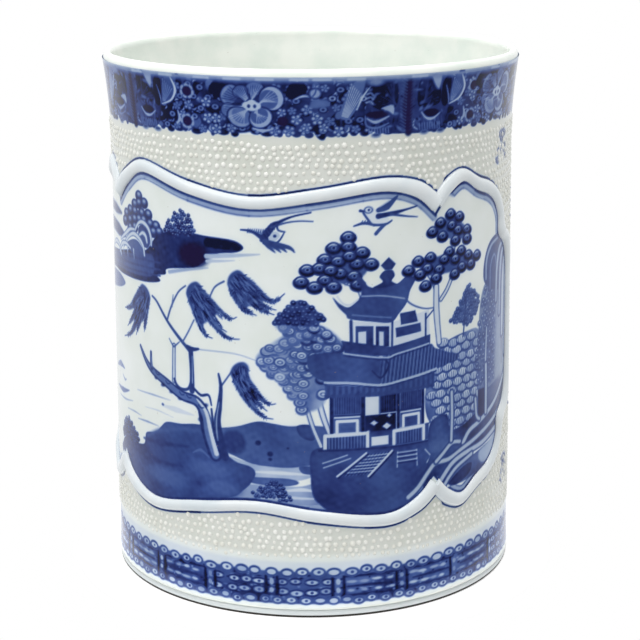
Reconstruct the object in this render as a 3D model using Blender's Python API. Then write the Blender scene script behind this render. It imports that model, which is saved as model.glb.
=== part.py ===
"""A porcelain brush pot: a thrown cylinder with a flared lip, its floor, foot and two frames.

Metres, +Z up. The origin is the centre of the plane that the foot rests on. The large front
panel faces -Y, and the small back panel faces +Y. Distances along the wall are measured on
a circle of WRAP_RADIUS, from the middle of a panel.
"""

import math

import bmesh
import bpy
from mathutils import Vector

# Driving dimensions
HEIGHT = 0.140
LIP_RADIUS = 0.055
LIP_DROP = 0.0028  # from the top down to the widest part of the lip
WAIST_HEIGHT = 0.112  # where the wall is narrowest, under the flare
LOWER_RADIUS = 0.0543  # the wall just above the foot
WAIST_NARROWING = 0.0009
TAPER_POWER = 1.5  # the taper grows faster towards the waist
FOOT_FLARE = 0.0006
FOOT_FLARE_HEIGHT = 0.008
WALL_THICKNESS = 0.0033
LIP_THICKNESS = 0.0024
LIP_FULLNESS = 0.8  # below 1 the lip is rounder than half an ellipse
GAP = 0.0003  # the slip joint left between pieces that touch

# The foot and the floor
FOOT_HEIGHT = 0.0020
FOOT_WIDTH = 0.0075
FOOT_INSET = 0.0003
FOOT_CHAMFER = 0.0004
FLOOR_THICKNESS = 0.0050
FLOOR_CHAMFER = 0.0006

# The applied frames
WRAP_RADIUS = 0.054
PANEL_MIDDLE = 0.069  # height of the middle of both panels
RIB_RELIEF = 0.0010
BACK_NARROWER = 0.025  # how much nearer to the middle the back panel's corners are

# Across a half-round rib: (share of its width from the inner edge, share of its relief)
RIB_SECTION = [(0.0, 0.0), (0.15, 0.75), (0.5, 1.0), (0.85, 0.75), (1.0, 0.0)]

# The glazes and the bare clay: (colour, roughness)
PORCELAIN = ((0.74, 0.78, 0.74), 0.12)
CLAY_STRIP = ((0.80, 0.83, 0.80), 0.12)
BISCUIT = ((0.62, 0.58, 0.50), 0.75)

TURN_STEPS = 90
LIP_STEPS = 6
WALL_STATIONS = 9
STEPS_PER_SPAN = 3
MERGE = 0.00005
SHARP_ANGLE = math.radians(50)

MM = 0.001


def clear_scene():
    for obj in list(bpy.data.objects):
        bpy.data.objects.remove(obj, do_unlink=True)


def glaze(name, colour, roughness):
    material = bpy.data.materials.new(name)
    material.use_nodes = True
    shader = material.node_tree.nodes["Principled BSDF"]
    shader.inputs["Base Color"].default_value = (*colour, 1.0)
    shader.inputs["Roughness"].default_value = roughness
    shader.inputs["Metallic"].default_value = 0.0
    return material


def wall_radius(height):
    """The outside of the thrown wall: a slight taper, flaring at the foot and under the lip."""
    taper = WAIST_NARROWING * (height / WAIST_HEIGHT) ** TAPER_POWER
    foot = FOOT_FLARE * math.exp(-height / FOOT_FLARE_HEIGHT)
    lip_height = HEIGHT - LIP_DROP
    under_lip = LOWER_RADIUS - WAIST_NARROWING * (lip_height / WAIST_HEIGHT) ** TAPER_POWER
    reach = max(0.0, height - WAIST_HEIGHT) / (lip_height - WAIST_HEIGHT)
    return LOWER_RADIUS - taper + foot + (LIP_RADIUS - under_lip) * reach**2


def turned_piece(name, profile, material):
    """A closed piece turned about Z. The profile of (radius, height) runs down its outer side."""
    mesh = bpy.data.meshes.new(name)
    piece = bpy.data.objects.new(name, mesh)
    bpy.context.collection.objects.link(piece)
    count = len(profile)
    on_axis = min(radius for radius, _ in profile) < MERGE
    edges = [(i, (i + 1) % count) for i in range(count - on_axis)]
    mesh.from_pydata([(radius, 0.0, height) for radius, height in profile], edges, [])
    mesh.materials.append(material)
    turn = piece.modifiers.new("turn", "SCREW")
    turn.steps = TURN_STEPS
    turn.render_steps = TURN_STEPS
    turn.use_merge_vertices = True
    turn.merge_threshold = MERGE
    turn.use_smooth_shade = True
    return piece


def lip_arc():
    """The round of the lip, from its widest part over the crest to the inner edge."""
    half = LIP_THICKNESS / 2
    middle = LIP_RADIUS - half
    points = []
    for i in range(LIP_STEPS + 1):
        turn = math.pi * i / LIP_STEPS
        rise = LIP_DROP * math.sin(turn) ** LIP_FULLNESS
        points.append((middle + half * math.cos(turn), HEIGHT - LIP_DROP + rise))
    return points


def body_wall(material):
    bottom = FOOT_HEIGHT + GAP
    top = HEIGHT - LIP_DROP
    heights = [bottom + (top - bottom) * i / WALL_STATIONS for i in range(WALL_STATIONS)]
    outside = [(wall_radius(height), height) for height in reversed(heights)]
    blend = top - WAIST_HEIGHT
    inside = []
    for height in heights:
        flare = max(0.0, height - WAIST_HEIGHT) / blend
        thickness = WALL_THICKNESS + (LIP_THICKNESS - WALL_THICKNESS) * flare
        inside.append((wall_radius(height) - thickness, height))
    inside[0] = (inside[1][0], bottom)
    over_the_lip = list(reversed(lip_arc()))
    return turned_piece("body_wall", over_the_lip + outside + inside, material)


def floor_radius():
    top = HEIGHT - LIP_DROP
    bottom = FOOT_HEIGHT + GAP
    first = bottom + (top - bottom) / WALL_STATIONS
    return wall_radius(first) - WALL_THICKNESS - GAP


def floor_disc(material):
    bottom = FOOT_HEIGHT + GAP
    top = bottom + FLOOR_THICKNESS
    radius = floor_radius()
    profile = [
        (0.0, top),
        (radius - FLOOR_CHAMFER, top),
        (radius, top - FLOOR_CHAMFER),
        (radius, bottom + FLOOR_CHAMFER),
        (radius - FLOOR_CHAMFER, bottom),
        (0.0, bottom),
    ]
    return turned_piece("floor_disc", profile, material)


def foot_ring(material):
    outer = wall_radius(0.0) - FOOT_INSET
    inner = outer - FOOT_WIDTH
    profile = [
        (outer, FOOT_HEIGHT),
        (outer, FOOT_CHAMFER),
        (outer - FOOT_CHAMFER, 0.0),
        (inner + FOOT_CHAMFER, 0.0),
        (inner, FOOT_CHAMFER),
        (inner, FOOT_HEIGHT),
    ]
    return turned_piece("foot_ring", profile, material)


def smooth_edge(points):
    """Points on a smooth curve through the given (along, up) points, which are kept."""
    ends = [points[0], *points, points[-1]]
    curve = []
    for i in range(1, len(ends) - 2):
        before, start, end, after = (Vector(ends[k]) for k in range(i - 1, i + 3))
        for step in range(STEPS_PER_SPAN):
            t = step / STEPS_PER_SPAN
            pull = (end - before) * t + (2 * before - 5 * start + 4 * end - after) * t**2
            twist = (3 * start - before - 3 * end + after) * t**3
            curve.append(start + (pull + twist) / 2)
    curve.append(Vector(points[-1]))
    return curve


def on_wall(along, up, relief, facing):
    """A point off the wall, from the millimetres along it and up it from a panel's middle."""
    height = PANEL_MIDDLE + up * MM
    angle = facing + along * MM / WRAP_RADIUS
    radius = wall_radius(height) + relief
    return (radius * math.sin(angle), -radius * math.cos(angle), height)


def frame_strip(name, outer, inner, facing, material):
    """A rolled strip of clay laid on the wall between its outer and its inner edge."""
    mesh = bmesh.new()
    rings = []
    for outside, inside in zip(smooth_edge(outer), smooth_edge(inner)):
        ring = []
        for across, rise in RIB_SECTION:
            along, up = inside.lerp(outside, across)
            relief = GAP + (RIB_RELIEF - GAP) * rise
            ring.append(mesh.verts.new(on_wall(along, up, relief, facing)))
        rings.append(ring)
    for ring, following in zip(rings, rings[1:]):
        for k in range(len(ring)):
            n = (k + 1) % len(ring)
            mesh.faces.new((ring[k], ring[n], following[n], following[k]))
    mesh.faces.new(rings[0])
    mesh.faces.new(reversed(rings[-1]))
    bmesh.ops.recalc_face_normals(mesh, faces=mesh.faces)
    data = bpy.data.meshes.new(name)
    mesh.to_mesh(data)
    mesh.free()
    data.shade_smooth()
    data.set_sharp_from_angle(angle=SHARP_ANGLE)
    data.materials.append(material)
    strip = bpy.data.objects.new(name, data)
    bpy.context.collection.objects.link(strip)
    return strip


# Edges of the frames as (along, up) in millimetres from the panel's middle. The strips meet
# at the cusps, CUSP along, where each stops half a slip joint short.
CUSP = 48.8
HALF_JOINT = GAP / MM / 2
CUSP_OUTER = 39.5
CUSP_INNER = 33.8

TOP_OUTER = [(-33.4, 46.2), (-17.0, 42.6), (0.0, 40.0), (17.0, 42.0), (33.0, 44.2)]
TOP_INNER = [(-33.4, 43.0), (-17.0, 39.4), (0.0, 36.9), (17.0, 38.9), (33.0, 40.9)]
TOP_OUTER_TURN = (43.0, 43.0)
TOP_INNER_TURN = (42.6, 38.8)
BOTTOM_OUTER = [(-31.0, -45.6), (-15.0, -43.0), (1.0, -40.8), (17.0, -43.2), (34.0, -45.3)]
BOTTOM_INNER = [(-31.0, -42.5), (-15.0, -40.0), (1.0, -38.0), (17.0, -40.1), (34.0, -42.1)]
BOTTOM_OUTER_TURN = (43.5, -43.0)
BOTTOM_INNER_TURN = (43.0, -39.0)
END_OUTER = [
    (52.5, 42.8),
    (58.0, 44.4),
    (65.0, 41.3),
    (71.0, 39.3),
    (76.0, 36.0),
    (79.3, 31.0),
    (80.6, 26.6),
    (84.6, 23.6),
    (86.8, 18.0),
    (87.2, 8.0),
]
END_INNER = [
    (53.2, 38.6),
    (58.5, 41.0),
    (64.4, 38.0),
    (70.0, 36.0),
    (73.8, 33.4),
    (76.2, 29.5),
    (76.8, 24.6),
    (81.0, 21.4),
    (83.4, 16.6),
    (84.1, 8.0),
]


def crossing_edge(middle, turn, cusp_up, narrower):
    """A top or bottom edge from cusp to cusp, drawn in so that its cusps come narrower in."""
    share = (CUSP - narrower) / CUSP
    end = CUSP - narrower - HALF_JOINT
    points = [(along * share, up) for along, up in middle]
    left = [(-end, cusp_up), (-turn[0] * share, turn[1])]
    right = [(turn[0] * share, turn[1]), (end, cusp_up)]
    return left + points + right


def end_edge(upper, cusp_up, narrower, side):
    """An end's edge from the upper cusp round to the lower one, on the side of that sign."""
    half = [(CUSP + HALF_JOINT, cusp_up), *upper]
    whole = half + [(along, -up) for along, up in reversed(half)]
    return [(side * (along - narrower), up) for along, up in whole]


def panel_frame(panel, facing, narrower, material):
    crossings = (
        ("top", TOP_OUTER, TOP_OUTER_TURN, TOP_INNER, TOP_INNER_TURN, 1),
        ("bottom", BOTTOM_OUTER, BOTTOM_OUTER_TURN, BOTTOM_INNER, BOTTOM_INNER_TURN, -1),
    )
    for place, outer, outer_turn, inner, inner_turn, sign in crossings:
        outside = crossing_edge(outer, outer_turn, sign * CUSP_OUTER, narrower)
        inside = crossing_edge(inner, inner_turn, sign * CUSP_INNER, narrower)
        frame_strip(f"{panel}_frame_{place}", outside, inside, facing, material)
    for place, side in (("left_end", -1), ("right_end", 1)):
        outside = end_edge(END_OUTER, CUSP_OUTER, narrower, side)
        inside = end_edge(END_INNER, CUSP_INNER, narrower, side)
        frame_strip(f"{panel}_frame_{place}", outside, inside, facing, material)


def main():
    clear_scene()
    porcelain = glaze("glazed_porcelain", *PORCELAIN)
    biscuit = glaze("unglazed_biscuit", *BISCUIT)
    clay_strip = glaze("glazed_clay_strip", *CLAY_STRIP)
    body_wall(porcelain)
    floor_disc(porcelain)
    foot_ring(biscuit)
    panel_frame("front", 0.0, 0.0, clay_strip)
    panel_frame("back", math.pi, BACK_NARROWER / MM, clay_strip)


main()
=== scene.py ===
"""The looks of a blue-and-white porcelain brush pot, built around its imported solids.

Lengths are millimetres along and up the wall until a mesh is made. "Along" is measured on a
circle of WRAP_RADIUS from the middle of the front panel, to the right when facing the wall.
"""

import math

import bpy
import numpy as np
from mathutils import Matrix, Vector


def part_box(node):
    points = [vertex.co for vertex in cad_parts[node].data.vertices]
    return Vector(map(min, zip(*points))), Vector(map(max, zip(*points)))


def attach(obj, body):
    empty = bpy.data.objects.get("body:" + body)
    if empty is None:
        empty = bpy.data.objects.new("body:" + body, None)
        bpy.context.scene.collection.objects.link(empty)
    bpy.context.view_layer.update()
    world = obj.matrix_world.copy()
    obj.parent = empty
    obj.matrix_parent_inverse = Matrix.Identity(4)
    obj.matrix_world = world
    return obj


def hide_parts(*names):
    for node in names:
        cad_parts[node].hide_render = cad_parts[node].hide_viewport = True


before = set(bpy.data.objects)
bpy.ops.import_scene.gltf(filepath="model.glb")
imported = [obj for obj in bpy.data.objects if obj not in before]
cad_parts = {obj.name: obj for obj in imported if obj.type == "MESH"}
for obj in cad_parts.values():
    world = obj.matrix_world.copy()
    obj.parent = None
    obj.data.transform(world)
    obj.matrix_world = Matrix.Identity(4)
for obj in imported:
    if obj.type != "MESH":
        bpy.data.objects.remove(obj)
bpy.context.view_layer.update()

MM = 0.001

# ---- sizes, worked out from the frame

wall_high, foot_high, floor_high = (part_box(part)[1] for part in ("body_wall", "foot_ring", "floor_disc"))
frame_low, frame_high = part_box("front_frame_right_end")

HEIGHT = wall_high[2] / MM
LIP_RADIUS = wall_high[0] / MM
FOOT_TOP = foot_high[2] / MM
FOOT_RADIUS = foot_high[0] / MM
FLOOR_TOP = floor_high[2] / MM
PANEL_MIDDLE = (frame_low[2] + frame_high[2]) / 2 / MM

LIP_DROP = HEIGHT * 0.02
LIP_THICKNESS = 2.4
LIP_FULLNESS = 0.8
LIP_HEIGHT = HEIGHT - LIP_DROP
WAIST = HEIGHT * 0.8
LOWER_RADIUS = LIP_RADIUS - 0.7
NARROWING = 0.9
TAPER_POWER = 1.5
FOOT_FLARE = 0.6
FOOT_FLARE_HEIGHT = 8.0
WALL_THICKNESS = 3.3
WALL_BOTTOM = FOOT_TOP + 0.3
FOOT_WIDTH = 7.5
WORN_CORNER = 0.45
RIB_WIDTH = 3.1
RIB_RELIEF = 1.0
WRAP_RADIUS = 54.0
ROUND = 2 * math.pi * WRAP_RADIUS
HALF_WAY = ROUND / 2

# The painted wall is skins just proud of the thrown one, split for the sake of their size.
SKIN_LIFT = 0.05
WALL_SKINS = 8
RIM_BAND = (123.0, 138.0)
BASE_BAND = (2.6, 14.0)
RIM_LOW, RIM_HIGH = 123.6, 137.6
BASE_PERIOD = ROUND / 20

# The front scene's own zero, along from the middle of its panel, and the butterflies' bodies:
# two face the front, and the rest share what is left.
SCENE_START = 15.6
FIRST_BUTTERFLY = SCENE_START + 24.5
BUTTERFLIES = [FIRST_BUTTERFLY, FIRST_BUTTERFLY - 76.3]
BUTTERFLIES += [FIRST_BUTTERFLY + 60 * k for k in (1, 2, 3)]

BEAD_PITCH = 1.95
BEAD_ROWS = 1.75
BEAD_RADIUS = 0.7
BEAD_RISE = 0.34

# ---- small helpers


def linear(code):
    """The linear colour, with alpha, of an sRGB hex value."""
    parts = [int(code[i : i + 2], 16) / 255 for i in (0, 2, 4)]
    return (*[p / 12.92 if p < 0.04045 else ((p + 0.055) / 1.055) ** 2.4 for p in parts], 1.0)


def node(tree, kind, inputs=(), **settings):
    """Adds a node with each input set or linked, and with its settings. A node that is given
    as an input stands for its first output."""
    made = tree.nodes.new(kind)
    for name, value in settings.items():
        setattr(made, name, value)
    for name, value in dict(inputs).items():
        value = value.outputs[0] if isinstance(value, bpy.types.Node) else value
        if isinstance(value, bpy.types.NodeSocket):
            tree.links.new(value, made.inputs[name])
        else:
            made.inputs[name].default_value = value
    return made


def set_stops(ramp, stops):
    """Gives a colour ramp its stops, as (position, hex colour) in rising order."""
    elements = ramp.color_ramp.elements
    while len(elements) < len(stops):
        elements.new(1.0)
    for element, (position, code) in zip(elements, stops):
        element.position = position
        element.color = linear(code)


def wall_radius(up):
    """The outside of the thrown wall: a slight taper, flaring at the foot and under the lip."""
    up = np.asarray(up, float)
    taper = NARROWING * (np.maximum(up, 0.0) / WAIST) ** TAPER_POWER
    foot = FOOT_FLARE * np.exp(-up / FOOT_FLARE_HEIGHT)
    under_lip = LOWER_RADIUS - NARROWING * (LIP_HEIGHT / WAIST) ** TAPER_POWER
    reach = np.maximum(0.0, up - WAIST) / (LIP_HEIGHT - WAIST)
    return LOWER_RADIUS - taper + foot + (LIP_RADIUS - under_lip) * reach**2


def on_wall(along, up, lift=0.0):
    """World points in metres at these places on the wall, lifted off it."""
    along, up = np.broadcast_arrays(np.asarray(along, float), np.asarray(up, float))
    angle = along / WRAP_RADIUS
    radius = wall_radius(up) + lift
    return np.stack([radius * np.sin(angle), -radius * np.cos(angle), up], -1) * MM


def smooth(points, closed=False, per_span=6):
    """Points on a smooth curve through the given ones."""
    points = np.asarray(points, float)
    if len(points) < 3 and not closed:
        return points
    if closed:
        ends = np.concatenate([points[-1:], points, points[:2]])
    else:
        ends = np.concatenate([points[:1], points, points[-1:]])
    before, start, end, after = ends[:-3], ends[1:-2], ends[2:-1], ends[3:]
    t = (np.arange(per_span) / per_span)[None, :, None]
    before, start, end, after = (p[:, None, :] for p in (before, start, end, after))
    pull = (end - before) * t + (2 * before - 5 * start + 4 * end - after) * t**2
    twist = (3 * start - before - 3 * end + after) * t**3
    curve = (start + (pull + twist) / 2).reshape(-1, 2)
    return curve if closed else np.concatenate([curve, points[-1:]])


def clouds(along, up, size, seed, layers=26):
    """Soft unevenness between about -1 and 1, with features of about this size."""
    random = np.random.default_rng(seed)
    total = np.zeros((len(up), len(along)), np.float32)
    for _ in range(layers):
        turn = random.uniform(0, math.tau)
        tight = random.uniform(0.5, 1.4) * math.tau / (2 * size)
        phase = random.uniform(0, math.tau)
        across = along[None, :] * math.cos(turn) * tight
        total += np.cos(across + up[:, None] * math.sin(turn) * tight + phase)
    return total / math.sqrt(layers)


def from_span(start, end, along, up):
    """How far places are from a straight span, and how far along it they lie, from 0 to 1."""
    (x, y), (dx, dy) = start, end - start
    share = np.clip(((along - x) * dx + (up - y) * dy) / (dx * dx + dy * dy + 1e-9), 0, 1)
    return np.hypot(along - x - share * dx, up - y - share * dy), share


def within(ring, along, up):
    """Which of these places lie inside a closed outline."""
    inside = np.zeros(np.broadcast_shapes(along.shape, up.shape), bool)
    for (x, y), (end_x, end_y) in zip(ring, np.roll(ring, -1, axis=0)):
        if end_y != y:
            inside ^= ((y > up) != (end_y > up)) & (along < x + (end_x - x) * (up - y) / (end_y - y))
    return inside


# ---- the painter's brush

COLUMNS = 1360
OVERRUN = 264
DOT = ROUND / COLUMNS
SOFT = 0.42


class Brush:
    """Lays cobalt on the wall. The paint is a strength at every point of a fine grid."""

    def __init__(self):
        self.along = (np.arange(COLUMNS + OVERRUN + 1) - COLUMNS // 2) * DOT
        self.up = np.arange(int(HEIGHT / DOT)) * DOT
        shape = (len(self.up), len(self.along))
        self.cobalt = np.zeros(shape, np.float32)
        self.violet = np.zeros(shape, np.float32)
        self.grain = clouds(self.along, self.up, 0.9, 11)
        self.pools = 0.7 * clouds(self.along, self.up, 4.5, 12) + clouds(self.along, self.up, 12.0, 13)
        self.place(0.0)

    def place(self, start, rise=0.0, size=1.0, flip=1):
        """Sets where the next motifs' own zero lies on the wall, and their size."""
        self.start, self.rise, self.size, self.flip = start, rise, size, flip

    def at(self, points):
        """Where these points of a motif lie on the wall."""
        points = np.asarray(points, float).reshape(-1, 2)
        along = self.start + self.flip * self.size * points[:, 0]
        return np.stack([along, self.rise + self.size * points[:, 1]], -1)

    def window(self, points, margin):
        """The part of the grid round these points, with its places along and up."""
        low, high = points.min(0) - margin, points.max(0) + margin
        columns = slice(*np.searchsorted(self.along, (low[0], high[0])))
        rows = slice(*np.searchsorted(self.up, (low[1], high[1])))
        return (rows, columns), self.along[None, columns], self.up[rows, None]

    def lay(self, part, beyond, tone, soft, violet):
        """Paints where the distance beyond the edge is negative, with a soft edge."""
        cover = np.clip(0.5 - beyond / soft, 0, 1)
        cover = cover * cover * (3 - 2 * cover)
        tone = tone * (1 + 0.03 * self.grain[part])
        self.cobalt[part] += (tone - self.cobalt[part]) * cover
        self.violet[part] += (violet - self.violet[part]) * cover

    def stroke(self, points, width, tone, straight=False, soft=SOFT, violet=0.0):
        """One pull of the brush. The width is a number, or several along the stroke."""
        path = self.at(points)
        path = path if straight else smooth(path)
        widths = np.atleast_1d(np.asarray(width, float)) * self.size
        share = np.linspace(0, 1, len(path))
        widths = np.interp(share, np.linspace(0, 1, len(widths)), widths)
        part, along, up = self.window(path, widths.max() + soft)
        beyond = np.full(np.broadcast_shapes(along.shape, up.shape), 1e6)
        spans = zip(path, path[1:], widths, widths[1:])
        for start, end, wide, end_wide in spans:
            away, share = from_span(start, end, along, up)
            np.minimum(beyond, away - (wide + (end_wide - wide) * share) / 2, out=beyond)
        self.lay(part, beyond, tone, soft, violet)

    def wash(
        self, outline, tone, straight=False, soft=SOFT, violet=0.0, uneven=0.06, pooled=0.10, lines=None,
    ):
        """Fills an outline. Lines are (spacing, lean, tone) of stripes drawn over the fill."""
        ring = self.at(outline)
        ring = ring if straight else smooth(ring, closed=True)
        part, along, up = self.window(ring, soft)
        beyond = np.full(np.broadcast_shapes(along.shape, up.shape), 1e6)
        for start, end in zip(ring, np.roll(ring, -1, axis=0)):
            np.minimum(beyond, from_span(start, end, along, up)[0], out=beyond)
        beyond[within(ring, along, up)] *= -1
        shade = tone * (1 + uneven * self.pools[part]) + pooled * tone * np.exp(-np.abs(beyond) / 0.6)
        if lines:
            spacing, lean, line_tone = lines
            wave = np.cos(math.tau * (along - lean * up) / (spacing * self.size))
            shade = shade + (line_tone - shade) * np.clip(0.5 + 0.9 * wave, 0, 1)
        self.lay(part, beyond, shade, soft, violet)

    def oval(self, x, y, long, high, tone, turn=0.0, ring=None, soft=SOFT, violet=0.0):
        """A filled oval, or with a ring width only its rim."""
        (middle_x, middle_y), = self.at([(x, y)])
        long, high = long * self.size, high * self.size
        reach = max(long, high) + soft + (ring or 0.0)
        part, along, up = self.window(np.array([[middle_x, middle_y]]), reach)
        turn = math.radians(turn) * self.flip
        dx, dy = along - middle_x, up - middle_y
        across = (dx * math.cos(turn) + dy * math.sin(turn)) / long
        upward = (dy * math.cos(turn) - dx * math.sin(turn)) / high
        beyond = (np.hypot(across, upward) - 1) * min(long, high)
        if ring:
            beyond = np.abs(beyond) - ring / 2
        self.lay(part, beyond, tone, soft, violet)

    def block(self, left, low, right, high, tone, **how):
        """A straight-sided fill."""
        self.wash([(left, low), (right, low), (right, high), (left, high)], tone, straight=True, **how)

    def strokes(self, *rows, **how):
        """Several pulls in turn, each given as its path, its width and its tone."""
        for row in rows:
            self.stroke(*row, **how)

    def washes(self, *rows, **how):
        """Several fills in turn, each given as its outline and its tone."""
        for row in rows:
            self.wash(*row, **how)

    def ovals(self, *rows, **how):
        """Several ovals in turn, each given as its place, its half sizes and its tone."""
        for row in rows:
            self.oval(*row, **how)

    def finished(self):
        """The grid once round, with what ran past the seam folded back and a faint bleed."""
        once = []
        for layer in (self.cobalt, self.violet):
            layer = layer.copy()
            layer[:, : OVERRUN + 1] = layer[:, COLUMNS:]
            once.append(layer[:, : COLUMNS + 1])
        cobalt, violet = once
        bled = np.clip(cobalt, 0, 1.1)
        weights = np.exp(-0.5 * (np.arange(-9, 10) / 3.4) ** 2)
        weights /= weights.sum()
        for axis in (0, 1):
            bled = sum(w * np.roll(bled, k, axis) for w, k in zip(weights, range(-9, 10)))
        return np.clip(np.maximum(cobalt, 0.97 * cobalt + 0.10 * bled), 0, 1), violet


# ---- the applied frames, in outline

# Half an end, from its cusp round to the middle of its side: (along, up) of the strip's two edges.
CUSP = 48.8
END_OUTER = [
    (CUSP, 39.5), (52.5, 42.8), (58, 44.4), (65, 41.3), (71, 39.3), (76, 36), (79.3, 31), (80.6, 26.6),
    (84.6, 23.6), (86.8, 18), (87.2, 8),
]
END_INNER = [
    (CUSP, 33.8), (53.2, 38.6), (58.5, 41), (64.4, 38), (70, 36), (73.8, 33.4), (76.2, 29.5), (76.8, 24.6),
    (81, 21.4), (83.4, 16.6), (84.1, 8),
]
TOP_OUTER = [(-43, 43), (-33.4, 46.2), (-17, 42.6), (0, 40), (17, 42), (33, 44.2), (43, 43)]
TOP_INNER = [(-42.6, 38.8), (-33.4, 43), (-17, 39.4), (0, 36.9), (17, 38.9), (33, 40.9), (42.6, 38.8)]
LOW_OUTER = [(-43.5, -43), (-31, -45.6), (-15, -43), (1, -40.8), (17, -43.2), (34, -45.3), (43.5, -43)]
LOW_INNER = [(-43, -39), (-31, -42.5), (-15, -40), (1, -38), (17, -40.1), (34, -42.1), (43, -39)]

# Each panel: the name, where its middle is, and how much nearer to it its cusps are.
PANELS = (("front", 0.0, 0.0), ("back", HALF_WAY, 25.0))


def frame_edge(narrower, edge):
    """The four runs of a frame's outer (edge 0) or inner (edge 1) outline, named by their place."""
    cusp_up = (END_OUTER, END_INNER)[edge][0][1]
    share = (CUSP - narrower) / CUSP
    runs = {}
    crossings = ((TOP_OUTER, LOW_OUTER), (TOP_INNER, LOW_INNER))[edge]
    for place, crossing, sign in zip(("top", "bottom"), crossings, (1, -1)):
        ends = [(-CUSP, sign * cusp_up), *crossing, (CUSP, sign * cusp_up)]
        runs[place] = smooth([(along * share, up) for along, up in ends])
    half = (END_OUTER, END_INNER)[edge]
    whole = half + [(along, -up) for along, up in reversed(half)]
    for place, side in (("left_end", -1), ("right_end", 1)):
        runs[place] = smooth([(side * (along - narrower), up) for along, up in whole])
    return runs


def frame_ring(narrower, edge):
    """A frame's whole outer or inner outline, going round from its upper left cusp."""
    runs = frame_edge(narrower, edge)
    return np.concatenate([runs["top"], runs["right_end"], runs["bottom"][::-1], runs["left_end"][::-1]])


def bare_ground(along, up):
    """Which places on the wall lie outside both frames."""
    free = np.ones(np.broadcast_shapes(along.shape, up.shape), bool)
    for _, middle, narrower in PANELS:
        away = (along - middle + HALF_WAY) % ROUND - HALF_WAY
        free &= ~within(frame_ring(narrower, 0), away, up - PANEL_MIDDLE)
    return free


# ---- motifs, drawn about their own zero

# Each line round a frame: the rib's edge it follows, how far out it lies, its width, tone and softness.
PALE_BANDS = (1, -0.9, 1.7, 0.3, 0.8), (1, -1.7, 0.5, 0.5, 0.5)
DARK_LINES = (1, -0.3, 0.75, 0.86, SOFT), (0, 0.3, 0.5, 1.0, 0.35)


def frame_lines(brush, middle, narrower, lines, random):
    """Lines that follow a frame, pressed unevenly."""
    brush.place(middle, PANEL_MIDDLE)
    for edge, grow, width, tone, soft in lines:
        for run in frame_edge(narrower, edge).values():
            ahead = np.gradient(run, axis=0)
            outward = np.stack([-ahead[:, 1], ahead[:, 0]], -1)
            outward /= np.linalg.norm(outward, axis=1)[:, None] + 1e-9
            outward *= np.sign(np.sum(outward * run, axis=1))[:, None]
            path = run + outward * grow
            count = max(4, int(len(path) / 5))
            for piece in np.array_split(np.arange(len(path)), count):
                piece = path[piece[0] : piece[-1] + 2]
                if len(piece) > 1:
                    pressed = width * random.uniform(0.55, 1.1, 2)
                    brush.stroke(
                        piece, pressed, tone * random.uniform(0.85, 1.03), straight=True, soft=soft,
                    )


def evenly(line, count):
    """The same line with this many points, evenly spaced."""
    reach = np.concatenate([[0], np.cumsum(np.linalg.norm(np.diff(line, axis=0), axis=1))])
    at = np.linspace(0, reach[-1], count)
    return np.stack([np.interp(at, reach, line[:, 0]), np.interp(at, reach, line[:, 1])], -1)


def frond(brush, head, fingers, random, strands=60):
    """A drooping cluster of willow leaves: a broad dark head that runs out in fine strands."""
    vary = random.uniform
    head = np.array(head, float)
    mean = np.mean([finger[-1] for finger in fingers], axis=0) - head
    forward = mean / np.hypot(*mean)
    aside = np.array([-forward[1], forward[0]])
    fingers = sorted(fingers, key=lambda finger: np.dot(finger[-1] - head, aside))
    lines = []
    for finger, share in zip(fingers, np.linspace(-0.5, 0.5, len(fingers))):
        lines.append(evenly(smooth([head + forward * 0.9 + aside * share * 3.6, *finger]), 15))
    brush.wash([*lines[0][:10], *lines[-1][9::-1]], 0.66, soft=0.9)
    lean = math.degrees(math.atan2(mean[1], mean[0]))
    brush.oval(*(head + forward * 1.5), 2.0, 2.7, 0.7, lean, soft=0.8)
    for line in lines:
        brush.stroke(line[:13], (1.2, 2.4, 2.3, 1.4, 0.5), 0.67, straight=True, soft=0.9)
        brush.stroke(line[3:], (0.5, 0.6, 0.45, 0.2), 0.8, straight=True)
        ahead = np.gradient(line, axis=0)
        for at in np.arange(0.3, 12.5, 0.34):
            x, y, dx, dy = (np.interp(at, np.arange(15), row) for row in (*line.T, *ahead.T))
            for way in (-1, 1):
                turn = math.atan2(dy, dx) + way * math.radians(vary(30, 62))
                out = vary(1.5, 2.2) * (1 - 0.05 * at)
                tip = (x + out * math.cos(turn), y + out * math.sin(turn))
                brush.stroke([(x, y), tip], (0.34, 0.26, 0.1), vary(0.55, 0.9), soft=0.3)
    for _ in range(strands):
        pick = random.integers(0, len(lines) - 1)
        share = vary(-0.1, 1.1)
        line = lines[pick] * (1 - share) + lines[pick + 1] * share + random.normal(0, 0.28, 2)
        start = random.integers(0, 9)
        deep = random.choice([0.42, 0.5, 0.85, 0.97])
        brush.stroke(line[start : start + 3], (0.15, 0.42, 0.12), deep, straight=True, soft=0.3)


def ringed_leaf(brush, x, y, long=2.1, high=1.45, deep=0.95):
    """A round leaf seen from above: dark below, a pale crescent above, and an eye in the middle."""
    brush.ovals((x + 0.05, y - 0.25, long, high, deep), (x, y + 0.1, long * 0.8, high * 0.7, 0.74))
    crescent = ((-0.66, 0.2), (-0.33, 0.56), (0.066, 0.66), (0.462, 0.5))
    arc = [(x + long * dx, y + high * dy) for dx, dy in crescent]
    brush.stroke(arc, (0.15, 0.5, 0.6, 0.2), 0.2, soft=0.5)
    brush.ovals((x + 0.1, y, 0.62, 0.5, 0.26), (x + 0.1, y - 0.02, 0.36, 0.33, 1.0))
    top = ((-0.93, 0.2), (-0.5, 0.78), (0, 0.96), (0.5, 0.78), (0.93, 0.2))
    rim = [(x + long * dx, y + high * dy) for dx, dy in top]
    brush.stroke(rim, (0.3, 0.35, 0.3), 0.82)


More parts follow.
